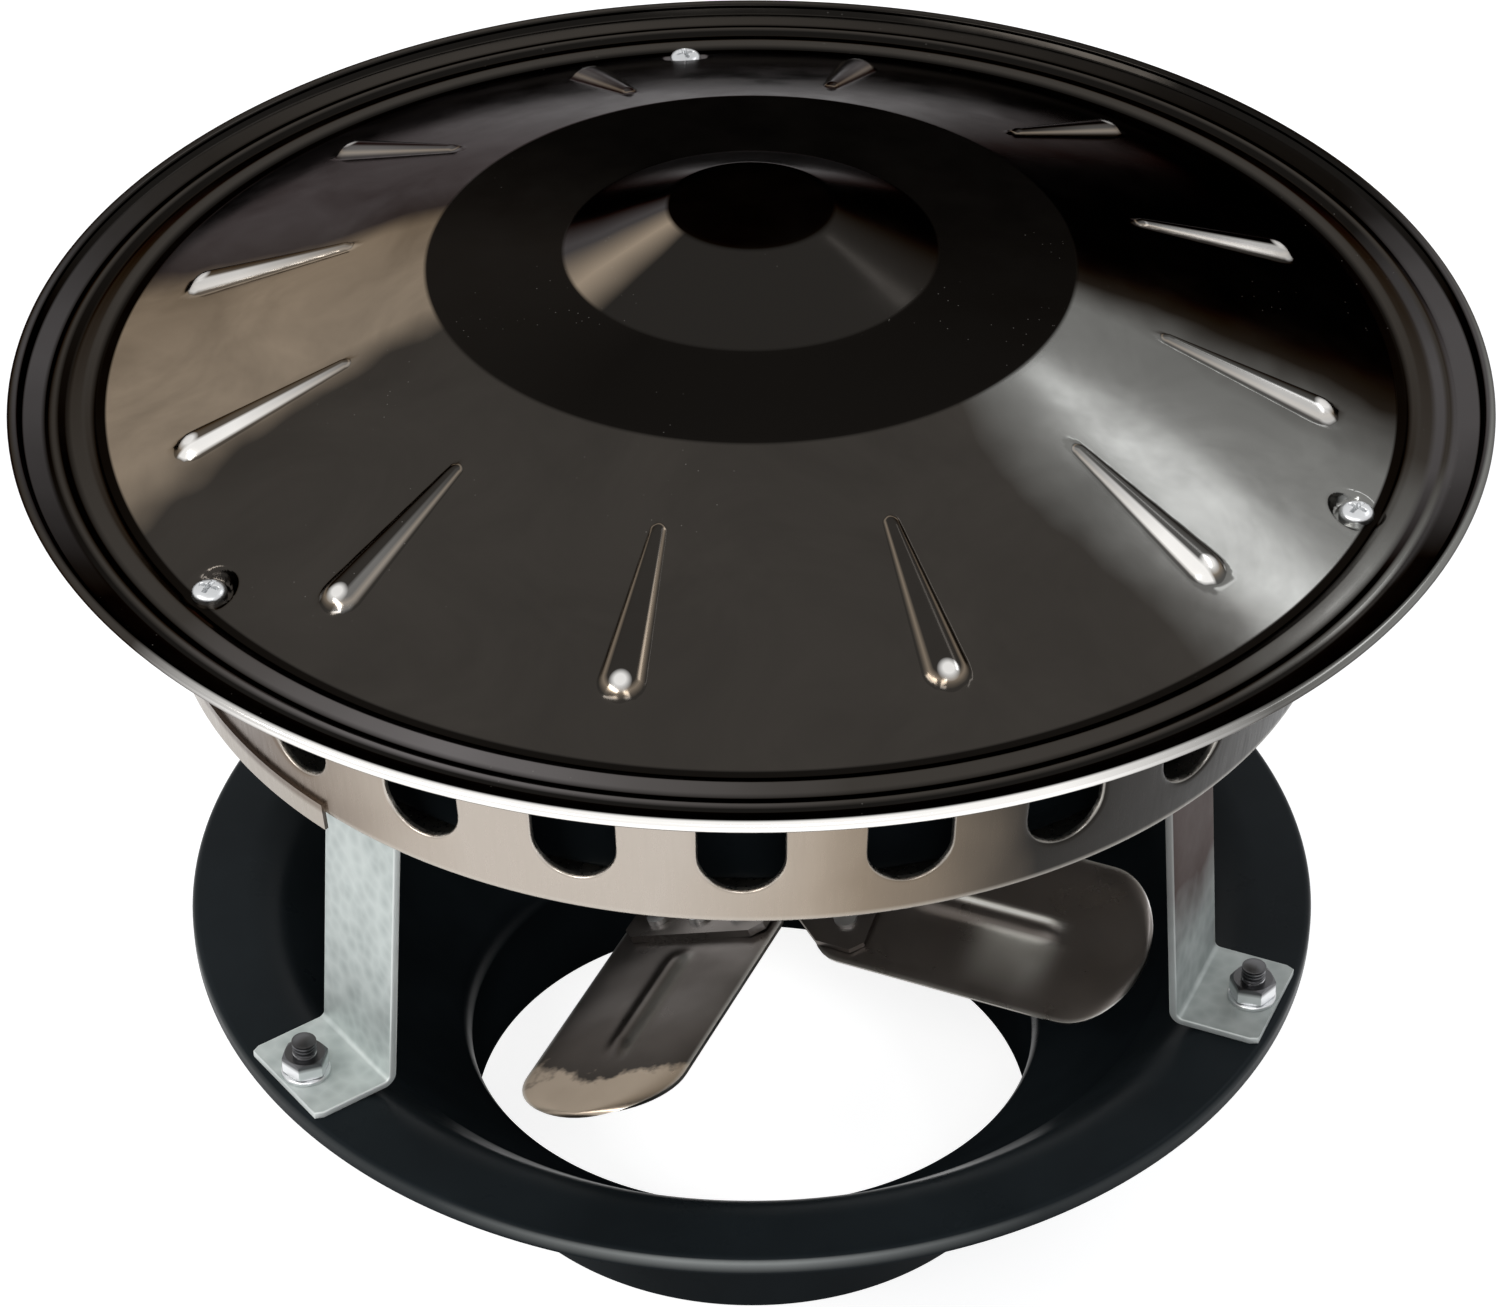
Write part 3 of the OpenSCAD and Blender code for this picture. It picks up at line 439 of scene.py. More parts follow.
def hat_rib_masks(s, mm, turn):
    """Masks of the pressed ribs for painted light: their outline (painted highlight), their inside (painted shade),
    the painted highlight on their outer end and the painted highlight lines along them.
    """
    start = (RIB_AZ + 180) / 360
    share = s.maths("FRACT", s.plus(s.times(s.minus(turn, start), 12.0), 12.5))
    angle = s.times(s.minus(share, 0.5), math.radians(30))
    x = s.maths("DIVIDE", s.times(mm, s.maths("COSINE", angle)), math.cos(CONE_SLOPE))
    y = s.times(mm, s.maths("SINE", angle))
    x1, x2 = rib_ends()
    t = s.spread(x, 0.0, 1.0, x2, x1)
    w = s.plus(RIB_TIP_W, s.times(t, RIB_W - RIB_TIP_W))
    off = s.minus(x, s.plus(x2, s.times(t, x1 - x2)))
    k = s.maths("DIVIDE", s.length(off, y), w)
    edge = s.ramp(k, [(0.0, 0.0), (0.55, 0.0), (0.72, 1.0), (0.84, 0.3), (0.92, 0.0), (1.0, 0.0)])
    inside = s.ramp(k, [(0.98, 1.0), (1.0, 0.0)])
    glint = s.times(s.step_at(s.length(s.minus(x, x1 + 1.6), y), 1.9, -1.4), 0.8)
    mirrored = s.times(s.maths("DIVIDE", y, w), s.maths("SIGN", s.split()[0]))
    side = s.spread(mirrored, 0.0, 1.0, -1.0, 1.0)
    lines = s.ramp(side, [(0.0, 0.0), (0.05, 0.0), (0.11, 1.0), (0.32, 1.0), (0.4, 0.0), (0.78, 0.0), (0.83, 0.6),
                          (0.9, 0.6), (0.95, 0.0), (1.0, 0.0)])
    faded = s.times(s.spread(t, 0.15, 0.95, 0.0, 0.75), s.step_at(k, 0.94, -0.1))
    return edge, inside, glint, s.times(lines, faded)


def satin_stainless():
    """Satin steel of the pan: painted reflections in patches round its wall, a plain inside, and painted highlights on
    the edges of its rim and slots.
    """
    s = Shader("satin_stainless", (0.38, 0.34, 0.29), metallic=1.0, roughness=0.34)
    radius, turn, z = s.polar()
    grain = s.noise(900.0, 3.0, 0.6, s.stretched((1, 1, 0.04)))
    swirl = s.plus(turn, s.wander(0.06, 12.0, 3.0, 0.6))
    # painted reflections in patches round the wall
    base = s.patched(swirl, TAN, [(SHADE, 0.05, 0.09, 0.08), (SAND, 0.2, 0.05, 0.05), (NEAR_BLACK, 0.39, 0.1, 0.06)])
    base = s.blend(s.step_at(radius, 0.139, -0.0008), base, (0.45, 0.42, 0.38))
    # painted highlight along the lower hem
    low = s.step_at(z, PAN_Z * MM + 0.001, -0.0014)
    base = s.blend(s.times(low, 0.45), base, (0.6, 0.56, 0.5))
    # painted highlight on the drawn-in edges of the slots
    face = s.plus(s.times(s.minus(z, PAN_Z * MM), PAN_FLARE), PAN_R * MM)
    depth = s.minus(face, radius)
    inner = s.times(s.step_at(depth, 0.0005, 0.0005), s.step_at(depth, 0.0024, -0.0004))
    base = s.blend(s.times(inner, 0.7), base, (0.8, 0.76, 0.7))
    s.use("Base Color", base)
    s.use("Roughness", s.spread(grain, 0.24, 0.38))
    s.bump(grain, 0.00001, 0.4)
    return s.mat


def galvanised(name="galvanised_steel", leg_shade=0.0):
    """Zinc-coated bar with painted highlights along its long edges; leg_shade paints shade on it: darker all over,
    with less sheen and a warm brown high up.
    """
    s = Shader(name, (0.55, 0.58, 0.57), metallic=0.45, roughness=0.5, Specular_IOR_Level=0.05 if leg_shade else 0.5)
    spangle = s.spots(260.0)
    tone = s.noise(45.0, 4.0, 0.6)
    base = s.ramp(tone, [(0.3, (0.42, 0.47, 0.455)), (0.7, (0.68, 0.735, 0.715))])
    flake = s.ramp(spangle, [(0.1, (0.4, 0.45, 0.44)), (0.8, (0.74, 0.79, 0.77))])
    base = s.blend(0.4, base, flake)
    if leg_shade:
        height = s.plus(s.split()[2], s.times(s.noise(40.0, 3.0, 0.6), 0.03))
        # painted shade: the right leg is darker all over, and warm brown high up
        base = s.blend(0.35, base, (0.12, 0.115, 0.11))
        base = s.blend(s.times(s.step_at(height, 0.124, 0.022), leg_shade), base, RIGHT_LEG_SHADE)
    # painted highlight along the bar's long edges, weaker on the shaded right leg
    base = s.blend(s.times(s.painted("edge_highlight"), 0.35 if leg_shade else 0.85), base, (0.86, 0.9, 0.88))
    s.use("Base Color", base)
    s.use("Roughness", s.spread(tone, 0.42, 0.6))
    s.bump(s.noise(500.0, 3.0, 0.6), 0.00003, 0.3)
    return s.mat


def black_enamel():
    """Gloss black enamel, with a painted highlight along the front of its rim, and without a sheen in the neck and
    throat.
    """
    colour = (0.0105, 0.0138, 0.016)
    s = Shader("black_enamel", colour, metallic=0.0, roughness=0.34, IOR=1.12)
    radius, turn, z = s.polar()
    base = mottled(s, s.noise(12.0, 4.0, 0.6), colour, 0.7, 1.6, 0.75)
    # painted highlight on the rim's top fold, strongest at the front
    rim_highlight = s.times(s.step_at(radius, 0.1432, 0.0006), s.step_at(z, 0.0815, 0.0035))
    share = s.patched(turn, grey(0.1), [(grey(0.8), 0.245, 0.05, 0.07)])
    s.use("Base Color", s.blend(s.times(rim_highlight, share), base, (0.45, 0.47, 0.46)))
    neck = s.times(s.step_at(radius, 0.0745, -0.001), s.step_at(z, 0.046, -0.008))
    throat = s.times(s.step_at(radius, 0.116, -0.016), s.step_at(z, 0.035, 0.003))
    sooty = s.maths("MAXIMUM", neck, throat)
    s.use("Specular IOR Level", s.times(s.minus(1.0, sooty), 0.5))
    s.use("Roughness", s.spread(s.noise(35.0, 5.0, 0.65), 0.24, 0.4))
    s.bump(s.noise(380.0, 3.0, 0.6), 0.00004, 0.25)
    return s.mat


def blade_steel():
    """Bright rolled steel with painted light: the first blade is lighter, with painted shade from its root to its tip,
    and has a beige tip with a ragged edge; painted highlights follow the mesh's ridge values.
    """
    s = Shader("blade_steel", (0.05, 0.045, 0.042), metallic=1.0, roughness=0.22)
    s.bsdf.inputs["Specular Tint"].default_value = (0.5, 0.48, 0.45, 1)
    radius, turn, _ = s.polar()
    tone = s.noise(24.0, 3.0, 0.55, distortion=0.5)
    first = s.spread(s.maths("ABSOLUTE", s.minus(turn, (BLADE_AZ + 180) / 360)), 1.0, 0.0, 0.06, 0.1)
    # painted light and shade on the first blade: lighter at its root, darker out to its tip
    shade = s.ramp(s.spread(radius, 0.0, 1.0, 0.03, 0.11), [
        (0.0, (0.3, 0.28, 0.27)), (0.4, (0.15, 0.14, 0.135)), (0.62, (0.1, 0.09, 0.085)), (0.8, (0.05, 0.046, 0.043))])
    base = s.blend(first, (0.2, 0.186, 0.178), shade)
    base = s.blend(s.spread(tone, 0.0, 0.6), base, s.blend(first, (0.16, 0.14, 0.13), (0.06, 0.052, 0.048)))
    tip = s.step_at(s.plus(radius, s.wander(0.03, 70.0, 4.0, 0.65)), 0.093, 0.004)
    base = s.blend(s.times(tip, s.spread(first, 0.04, 0.85, 0.0, 1.0)), base, (0.46, 0.38, 0.3))
    # painted highlights from the mesh's ridge values
    base = s.blend(s.painted("ridge"), base, (0.95, 0.96, 0.93))
    s.use("Base Color", base)
    s.use("Roughness", s.spread(s.noise(50.0, 4.0, 0.6), 0.24, 0.4))
    s.bump(s.noise(300.0, 2.0, 0.5, s.stretched((1, 1, 12))), 0.00002, 0.2)
    return s.mat


def plain(name, colour, roughness=0.35, grain=200.0, depth=0.00003, metallic=1.0):
    """A lightly mottled finish with a fine grain; metallic 0 makes plastic or rubber of it."""
    s = Shader(name, colour, metallic=metallic, roughness=roughness)
    tone = s.noise(30.0, 4.0, 0.6)
    s.use("Base Color", mottled(s, tone, colour))
    s.use("Roughness", s.spread(tone, roughness * 0.85, roughness * 1.2))
    s.bump(s.noise(grain, 3.0, 0.6), depth, 0.4)
    return s.mat


def dark_topped(name, colour, height, width):
    """Zinc plate with a dull, dark painted shade above the given height, in metres."""
    s = Shader(name, colour, metallic=1.0, roughness=0.28)
    tone = s.noise(30.0, 4.0, 0.6)
    s.use("Base Color", s.blend(s.step_at(s.split()[2], height, width), mottled(s, tone, colour), NUT_TOP_SHADE))
    s.use("Roughness", s.spread(tone, 0.24, 0.36))
    s.bump(s.noise(200.0, 3.0, 0.6), 0.00003, 0.4)
    return s.mat


# heights in metres at which the nuts' flats and the threads above them turn dark with painted shade
NUT_DARK, BOLT_DARK = 0.0905, 0.0926

MATS = {
    "polished_stainless": polished_stainless(),
    "satin_stainless": satin_stainless(),
    "galvanised_steel": galvanised(),
    "galvanised_shaded": galvanised("galvanised_shaded", 0.97),
    "black_enamel": black_enamel(),
    "blade_steel": blade_steel(),
    "nut_zinc": dark_topped("nut_zinc", (0.8, 0.81, 0.82), NUT_DARK, 0.0012),
    "bolt_zinc": dark_topped("bolt_zinc", (0.45, 0.45, 0.46), BOLT_DARK, 0.0015),
    "zinc_fasteners": plain("zinc_fasteners", (0.62, 0.63, 0.64), 0.3),
    "cast_aluminium": plain("cast_aluminium", (0.5, 0.51, 0.52), 0.5, 350.0, 0.0001),
    "lamination_steel": plain("lamination_steel", (0.2, 0.21, 0.22), 0.5),
    "copper_winding": plain("copper_winding", (0.55, 0.24, 0.08), 0.35, 800.0, 0.0001),
    "bearing_steel": plain("bearing_steel", (0.55, 0.56, 0.58), 0.22),
    "cream_plastic": plain("cream_plastic", (0.72, 0.7, 0.62), 0.5, 300.0, 0.00003, 0.0),
    "black_rubber": plain("black_rubber", (0.02, 0.02, 0.02), 0.75, 300.0, 0.00005, 0.0),
    "dark_steel": plain("dark_steel", (0.08, 0.08, 0.085), 0.4),
}

# the frame's own solids, where no piece replaces them, get the same finishes
for row in frame["record"]["subparts"]:
    node = frame["nodes"][row["node"]]
    node.data.materials.clear()
    node.data.materials.append(MATS[row["material_slot"]])


# ---------- mesh helpers ----------

def add_piece(name, mesh, material, body, node):
    """Put the mesh in the scene as a piece that rides on the body in place of the frame's node."""
    piece = bpy.data.objects.new(name, mesh)
    bpy.context.collection.objects.link(piece)
    mesh.materials.append(MATS[material])
    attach(piece, body)
    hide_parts(node)
    return piece


def finish_bmesh(bm, mesh, sharp=None):
    """Turn the normals outwards, write the mesh and shade it smooth up to the sharp angle, in degrees."""
    bmesh.ops.recalc_face_normals(bm, faces=bm.faces)
    bm.to_mesh(mesh)
    bm.free()
    mesh.shade_smooth()
    if sharp:
        mesh.set_sharp_from_angle(angle=math.radians(sharp))


def new_piece(name, verts, faces, material, body, sharp, node, slot=None):
    """A piece from vertices in millimetres."""
    mesh = bpy.data.meshes.new(name)
    mesh.from_pydata([tuple(c * MM for c in v) for v in verts], [], faces)
    mesh.validate()
    bm = bmesh.new()
    bm.from_mesh(mesh)
    finish_bmesh(bm, mesh, sharp)
    return add_piece(name, mesh, material, body, node)


def unit(v):
    """The vector at length 1."""
    return v / np.linalg.norm(v)


def round_corners(path, radii, steps=8):
    """The path with each inner corner rounded by an arc of its own radius."""
    pts = [np.array(p, float) for p in path]
    out = [pts[0]]
    for i in range(1, len(pts) - 1):
        r = radii[i - 1]
        u, v = unit(pts[i - 1] - pts[i]), unit(pts[i + 1] - pts[i])
        turn = math.acos(max(-1.0, min(1.0, float(u @ v))))
        if r <= 0 or turn > math.radians(179.5):
            out.append(pts[i])
            continue
        back = r / math.tan(turn / 2)
        mid = pts[i] + unit(u + v) * r / math.sin(turn / 2)
        p, q = pts[i] + u * back - mid, pts[i] + v * back - mid
        a0 = math.atan2(p[1], p[0])
        sweep = (math.pi - turn) * np.sign(p[0] * q[1] - p[1] * q[0])
        out += [mid + r * np.array([math.cos(a0 + sweep * k / steps), math.sin(a0 + sweep * k / steps)])
                for k in range(steps + 1)]
    out.append(pts[-1])
    return np.array(out)


def resample(path, step):
    """More points along long straight stretches."""
    out = [path[0]]
    for a, b in zip(path[:-1], path[1:]):
        n = max(1, int(math.ceil(np.linalg.norm(b - a) / step)))
        out += [a + (b - a) * k / n for k in range(1, n + 1)]
    return np.array(out)


def normals_of(path):
    """Left-hand unit normals of a polyline."""
    t = np.zeros_like(path)
    t[1:-1] = path[2:] - path[:-2]
    t[0], t[-1] = path[1] - path[0], path[-1] - path[-2]
    t /= np.linalg.norm(t, axis=1)[:, None]
    return np.stack([-t[:, 1], t[:, 0]], 1)


def around(count):
    """The angles of a full turn in equal steps."""
    return [2 * math.pi * k / count for k in range(count)]


def circle(r, z, turns):
    return [(r * math.cos(a), r * math.sin(a), z) for a in turns]


def lathe_rings(rings, count, closed_ring=False):
    """Vertices and faces of rings of count points, joined one to the next; a ring of one point is a pole."""
    verts, faces, index = [], [], []
    for ring in rings:
        if len(ring) == 1:
            index.append([len(verts)] * count)
        else:
            index.append(list(range(len(verts), len(verts) + count)))
        verts += [tuple(p) for p in ring]
    pairs = list(zip(index[:-1], index[1:]))
    if closed_ring:
        pairs.append((index[-1], index[0]))
    for a, b in pairs:
        for k in range(count):
            m = (k + 1) % count
            quad = [a[k], a[m], b[m], b[k]]
            face = [v for j, v in enumerate(quad) if v not in quad[:j]]
            if len(face) > 2:
                faces.append(face)
    return verts, faces


def lathe(profile, count):
    """A closed surface of revolution: profile is a loop of (radius, height)."""
    return lathe_rings([circle(r, z, around(count)) for r, z in profile], count, True)


# ---------- rain hat ----------

def hat_azimuths():
    """Directions in degrees: evenly spaced ones, and closer ones at each rib and screw."""
    step, fine_step, beside = 1.5, 0.2, 19
    centres = RIBS + SCREW_AZ
    fine = [(centre + d * fine_step) % 360 for centre in centres for d in range(-beside, beside + 1)]
    coarse = [k * step for k in range(240)]
    kept = []
    for a in sorted(set(round(v, 4) for v in coarse + fine)):
        near_fine = min(abs((a - f + 180) % 360 - 180) for f in centres) < beside * fine_step + 0.15
        is_fine = any(abs(a - f) < 1e-3 for f in fine)
        if is_fine or not near_fine:
            kept.append(a)
    return kept


def rib_rise(r, az):
    """Height of the pressed ribs above the cone at radius r and direction az (arrays)."""
    total = np.zeros_like(az)
    along = math.cos(CONE_SLOPE)
    x1, x2 = rib_ends()
    for centre in RIBS:
        d = np.radians((az - centre + 180) % 360 - 180)
        x = r * np.cos(d) / along
        y = r * np.sin(d)
        t = np.clip((x - x2) / (x1 - x2), 0, 1)
        w = RIB_TIP_W + (RIB_W - RIB_TIP_W) * t
        h = RIB_TIP_H + (RIB_H - RIB_TIP_H) * t
        dist = np.hypot(x - (x2 + (x1 - x2) * t), y)
        k = np.clip(dist / w, 0, 1)
        total = np.maximum(total, h * (1 - k ** 2.2))
    return total


def with_seats(x, y, z, face):
    """The heights z, with the flat seats of the hat's screws pressed in to the height face."""
    out = z.copy()
    for az in SCREW_AZ:
        a = math.radians(az)
        d = np.hypot(x - HAT_SCREW_R * math.cos(a), y - HAT_SCREW_R * math.sin(a))
        k = np.clip((d - SEAT_R) / SEAT_EDGE, 0, 1)
        k = k * k * (3 - 2 * k)
        lower = np.minimum(out, face)
        out = lower + (out - lower) * k
    return out


def make_hat():
    """The hat's sheet turned from its profile, with ribs, screw seats and a rolled rim."""
    path = [(0, TOP_Z), (TOP_R, TOP_Z), (CROWN_R, CROWN_Z), (RING_R, RING_Z), (VALLEY_IN, FOOT_Z),
            (VALLEY_IN + 2.2, FOOT_Z), (VALLEY_IN + 5.1, HAT_Z - 2.7), (VALLEY_IN + 9.1, HAT_Z - 3.9),
            (VALLEY_IN + 12.1, HAT_Z - 2.9), (VALLEY_IN + 14.1, HAT_Z - 3.6), (HAT_R - 3.5, HAT_Z - 2.8),
            (HAT_R - 2.6, HAT_Z - 1.5)]
    radii = [4.0, 2.2, 2.2, 0.9, 0.9, 1.6, 1.4, 1.0, 0.8, 0.6]
    seats_in, seats_out = 141, 158
    top = resample(round_corners(path, radii, 5), 1.6)
    inner = [p for p in top if p[0] <= seats_in]
    seats = [p for p in top if seats_in < p[0] < seats_out]
    outer = [p for p in top if p[0] >= seats_out]
    top = np.array((inner + list(resample(np.array([inner[-1]] + seats), 0.5))[1:]) + outer)
    bead = [(HAT_R - BEAD_R + BEAD_R * math.cos(a), HAT_Z - BEAD_R + BEAD_R * math.sin(a))
            for a in [math.radians(160 - 300 * k / 18) for k in range(19)]]
    under = (top - normals_of(top) * HAT_T)[::-1]
    azimuths = np.array(hat_azimuths())
    rad = np.radians(azimuths)
    out, up = math.sin(CONE_SLOPE), math.cos(CONE_SLOPE)
    rings = []
    for r, z in list(top) + bead + list(under[1:]):
        if r < 1e-3:
            rings.append([(0, 0, z)])
            continue
        ribbed = 84 < r < 147
        rise = rib_rise(np.full_like(rad, r), azimuths) if ribbed else np.zeros_like(rad)
        rr, zz = r + rise * out, z + rise * up
        x, y = rr * np.cos(rad), rr * np.sin(rad)
        if seats_in - 1 < r < seats_out:
            below = np.interp(r, top[:, 0], top[:, 1]) - z
            zz = with_seats(x, y, zz, FOOT_Z - (HAT_T if below > HAT_T / 2 else 0.0))
        rings.append(list(zip(x, y, zz)))
    verts, faces = lathe_rings(rings, len(azimuths))
    new_piece("rain_hat", verts, faces, "polished_stainless", HOUSING, 40.0, "hat")


# ---------- slotted pan ----------

SIDE = 12                           # steps along each side of a slot and of its cell


def pan_face(z):
    """Radius of the pan wall's outer face at height z."""
    return PAN_R + (z - PAN_Z) * PAN_FLARE


def slot_loop(offset):
    """Points round a slot, grown by offset: across (mm) and height; four sides of SIDE steps each."""
    r = SLOT_W / 2 + offset
    low, high = SLOT_LOW + SLOT_W / 2, SLOT_HIGH - SLOT_W / 2
    third = SIDE // 3

    def arc(start, end, count, z):
        turns = [math.radians(start + (end - start) * k / count) for k in range(count)]
        return [(r * math.cos(a), z + r * math.sin(a)) for a in turns]

    def side(x, start, end):
        return [(x, start + (end - start) * k / third) for k in range(third)]

    return (arc(135, 45, SIDE, high)
            + arc(45, 0, third, high) + side(r, high, low) + arc(0, -45, third, low)
            + arc(-45, -135, SIDE, low)
            + arc(-135, -180, third, low) + side(-r, low, high) + arc(180, 135, third, high))


def cell_loop(low, high):
    """The border of one slot's cell, in the same order; across runs from -1 to 1."""
    pts = [(-1 + 2 * k / SIDE, high) for k in range(SIDE)]
    pts += [(1, high + (low - high) * k / SIDE) for k in range(SIDE)]
    pts += [(1 - 2 * k / SIDE, low) for k in range(SIDE)]
    pts += [(-1, low + (high - low) * k / SIDE) for k in range(SIDE)]
    return pts


def make_pan():
    """The pan's wall: a cell round each slot, whose edge is drawn in, then the hem below and the flange above."""
    bm = bmesh.new()
    half = 180 / SLOTS
    low, high = PAN_Z + 3, PAN_TOP - 6

    def point(az, z, depth):
        r = pan_face(z) - depth
        a = math.radians(az)
        return bm.verts.new((r * math.cos(a) * MM, r * math.sin(a) * MM, z * MM))

    def join(loops):
        for a, b in zip(loops[:-1], loops[1:]):
            for k in range(len(a)):
                m = (k + 1) % len(a)
                bm.faces.new((a[k], a[m], b[m], b[k]))

    # the slot's drawn edge, outside to inside: how much it grows the slot, and its depth
    rim = [(1.6, 0.0), (0.9, 0.05), (0.45, 0.22), (0.15, 0.55), (0.0, 1.0), (0.0, 1.8), (0.35, 2.05), (0.7, 1.8),
           (0.8, 1.2), (1.1, 0.92), (1.7, PAN_T)]
    for s in range(SLOTS):
        centre = SLOT_AZ + 360 / SLOTS * s
        loops = [[point(centre + u * half, z, 0.0) for u, z in cell_loop(low, high)]]
        for offset, depth in rim:
            loops.append([point(centre + math.degrees(u / pan_face(z)), z, depth) for u, z in slot_loop(offset)])
            if len(loops) == 2:
                between = [(a.co + b.co) / 2 for a, b in zip(*loops)]
                loops.insert(1, [point(math.degrees(math.atan2(p.y, p.x)), p.z / MM, 0.0) for p in between])
        loops.append([point(centre + u * half, z, PAN_T) for u, z in cell_loop(low, high)])
        join(loops)
    total = SLOTS * SIDE
    turns = [math.radians(SLOT_AZ - half + 360 * k / total) for k in range(total)]
    hem = [(low, 0.0), (PAN_Z + 1.2, 0.0), (PAN_Z + 0.35, 0.02), (PAN_Z + 0.06, 0.2), (PAN_Z, 0.4),
           (PAN_Z + 0.06, 0.6), (PAN_Z + 0.35, PAN_T), (low, PAN_T)]
    flange_end = PAN_TOP_R + 10
    outer = round_corners([(pan_face(high), high), (PAN_TOP_R, PAN_TOP - PAN_T), (flange_end, PAN_TOP - PAN_T)],
                          [1.0], 5)
    inner = round_corners([(pan_face(high) - PAN_T, high), (PAN_TOP_R - PAN_T, PAN_TOP), (flange_end, PAN_TOP)],
                          [1.8], 5)
    for profile in ([(pan_face(z) - d, z) for z, d in hem], list(outer) + list(inner[::-1])):
        join([[bm.verts.new([c * MM for c in p]) for p in circle(r, z, turns)] for r, z in profile])
    bmesh.ops.remove_doubles(bm, verts=bm.verts, dist=0.00004)
    mesh = bpy.data.meshes.new("slotted_pan")
    finish_bmesh(bm, mesh, 50.0)
    add_piece("slotted_pan", mesh, "satin_stainless", HOUSING, "pan_band")


# ---------- funnel base ----------

def make_base():
    """The funnel: neck, cone, flat rim and turned-down lip, as one sheet."""
    rim, lip_z = BASE_RIM_R, FLANGE_Z - BASE_LIP
    outer = round_corners([(75.0, 0.0), (75.0, 34.0), (124.0, FLANGE_Z - BASE_T), (rim - BASE_T, FLANGE_Z - BASE_T),
                           (rim - BASE_T, lip_z)], [11.0, 15.0, 1.0], 12)
    inner = round_corners([(74.0, 0.0), (74.0, 34.41), (123.59, FLANGE_Z), (rim, FLANGE_Z), (rim, lip_z)],
                          [12.0, 16.0, 2.0], 12)
    profile = list(resample(outer, 4.0)) + list(resample(inner, 4.0)[::-1])
    verts, faces = lathe(profile, 256)
    new_piece("flue_base", verts, faces, "black_enamel", HOUSING, 50.0, "base_funnel")


# ---------- legs ----------

def make_leg(index, node):
    """A Z-shaped leg of flat bar with rounded long edges and clipped corners at its foot."""
    t, w, edge, clipped = LEG_T, LEG_W, 0.45, 0.9
    foot_end, foot_r, top_r, flange = 141.4, 120.6, 113.0, 22.0
    path = [(foot_end, FLANGE_Z + t), (foot_r, FLANGE_Z + t), (top_r, FLOOR_Z), (top_r - flange, FLOOR_Z)]
    face = resample(round_corners(path, [1.5, 3.5], 8), 2.0)
    normal = normals_of(face)
    mid = face + normal * t / 2
    section = []
    for cx, cz, a0 in ((w / 2 - edge, t / 2 - edge, 0), (-w / 2 + edge, t / 2 - edge, 90),
                       (-w / 2 + edge, -t / 2 + edge, 180), (w / 2 - edge, -t / 2 + edge, 270)):
        for k in range(4):
            a = math.radians(a0 + 30 * k)
            section.append((cx + edge * math.cos(a), cz + edge * math.sin(a)))
    az = math.radians(LEG_AZ + 120 * index)
    radial = np.array([math.cos(az), math.sin(az)])
    side = np.array([-math.sin(az), math.cos(az)])
    rings = []
    for p, n in zip(mid, normal):
        clip = max(0.0, clipped - (foot_end - p[0])) if p[1] < FLANGE_Z + 5 else 0.0
        ring = []
        for u, v in section:
            across = math.copysign(max(0.0, abs(u) - clip), u)
            q = p - n * v
            ring.append((*(radial * q[0] + side * across), q[1]))
        rings.append(ring)
    count = len(section)
    verts, faces = lathe_rings(rings, count)
    faces += [list(range(count))[::-1], list(range(len(verts) - count, len(verts)))]
    # the right leg gets the painted shade
    finish = "galvanised_shaded" if node == "leg_right" else "galvanised_steel"
    piece = new_piece("z_" + node, verts, faces, finish, HOUSING, 50.0, node, slot="galvanised_steel")
    # marks the long edges, which get a painted highlight
    cuts = [1.0 if abs(u) > w / 2 - 0.6 * edge else 0.0 for u, v in section] * len(rings)
    piece.data.attributes.new("edge_highlight", "FLOAT", "POINT").data.foreach_set("value", cuts)


# ---------- impeller blades ----------

def blade_matrix(index):
    """From the blade's own frame to its place on the hub."""
    return (Matrix.Translation((0, 0, FAN_Z * MM)) @ Matrix.Rotation(math.radians(BLADE_AZ + 90 * index), 4, "Z")
            @ Matrix.Rotation(math.radians(PITCH), 4, "X"))


def clamp(value):
    return min(1.0, max(0.0, value))


def blade_half_width(x):
    """Half the blade's width at x along it: rounded corners at the root, and a round tip."""
    if x < BLADE_ROOT + BLADE_CORNER:
        d = BLADE_ROOT + BLADE_CORNER - x
        return BLADE_HALF - BLADE_CORNER + math.sqrt(max(0.0, BLADE_CORNER ** 2 - d ** 2))
    d = max(0.0, x - (BLADE_TIP - BLADE_ROUND)) / BLADE_ROUND
    return BLADE_HALF * math.sqrt(max(0.0, 1 - d * d))


def blade_point(x, u, bright):
    """Height, and brightness of the painted highlights, of the blade's sheet at x along it and u (-1 to 1) across."""
    y = u * blade_half_width(x)
    along = clamp((86.0 - x) / 6.0) * clamp((x - 42.0) / 6.0)
    z = -0.9 * abs(u) ** 5 + 1.8 * along * math.exp(-(y / 2.8) ** 2)
    # painted highlights: a line along the crest, a patch on the bright blade, and a light outline round the rim
    crest = along * math.exp(-((y - 2.6) / 1.1) ** 2)
    outline_highlight = 0.45 * max(0.0, (abs(u) - 0.95) / 0.05)
    if not bright:
        return (x, y, z), 0.25 * crest + outline_highlight
    patch = math.exp(-((x - 74) / 10) ** 4) * clamp((-2.0 - y) / 2.0) * max(0.0, 1.0 + (y + 3.0) / 17.0)
    return (x, y, z), min(1.0, crest + patch + outline_highlight)


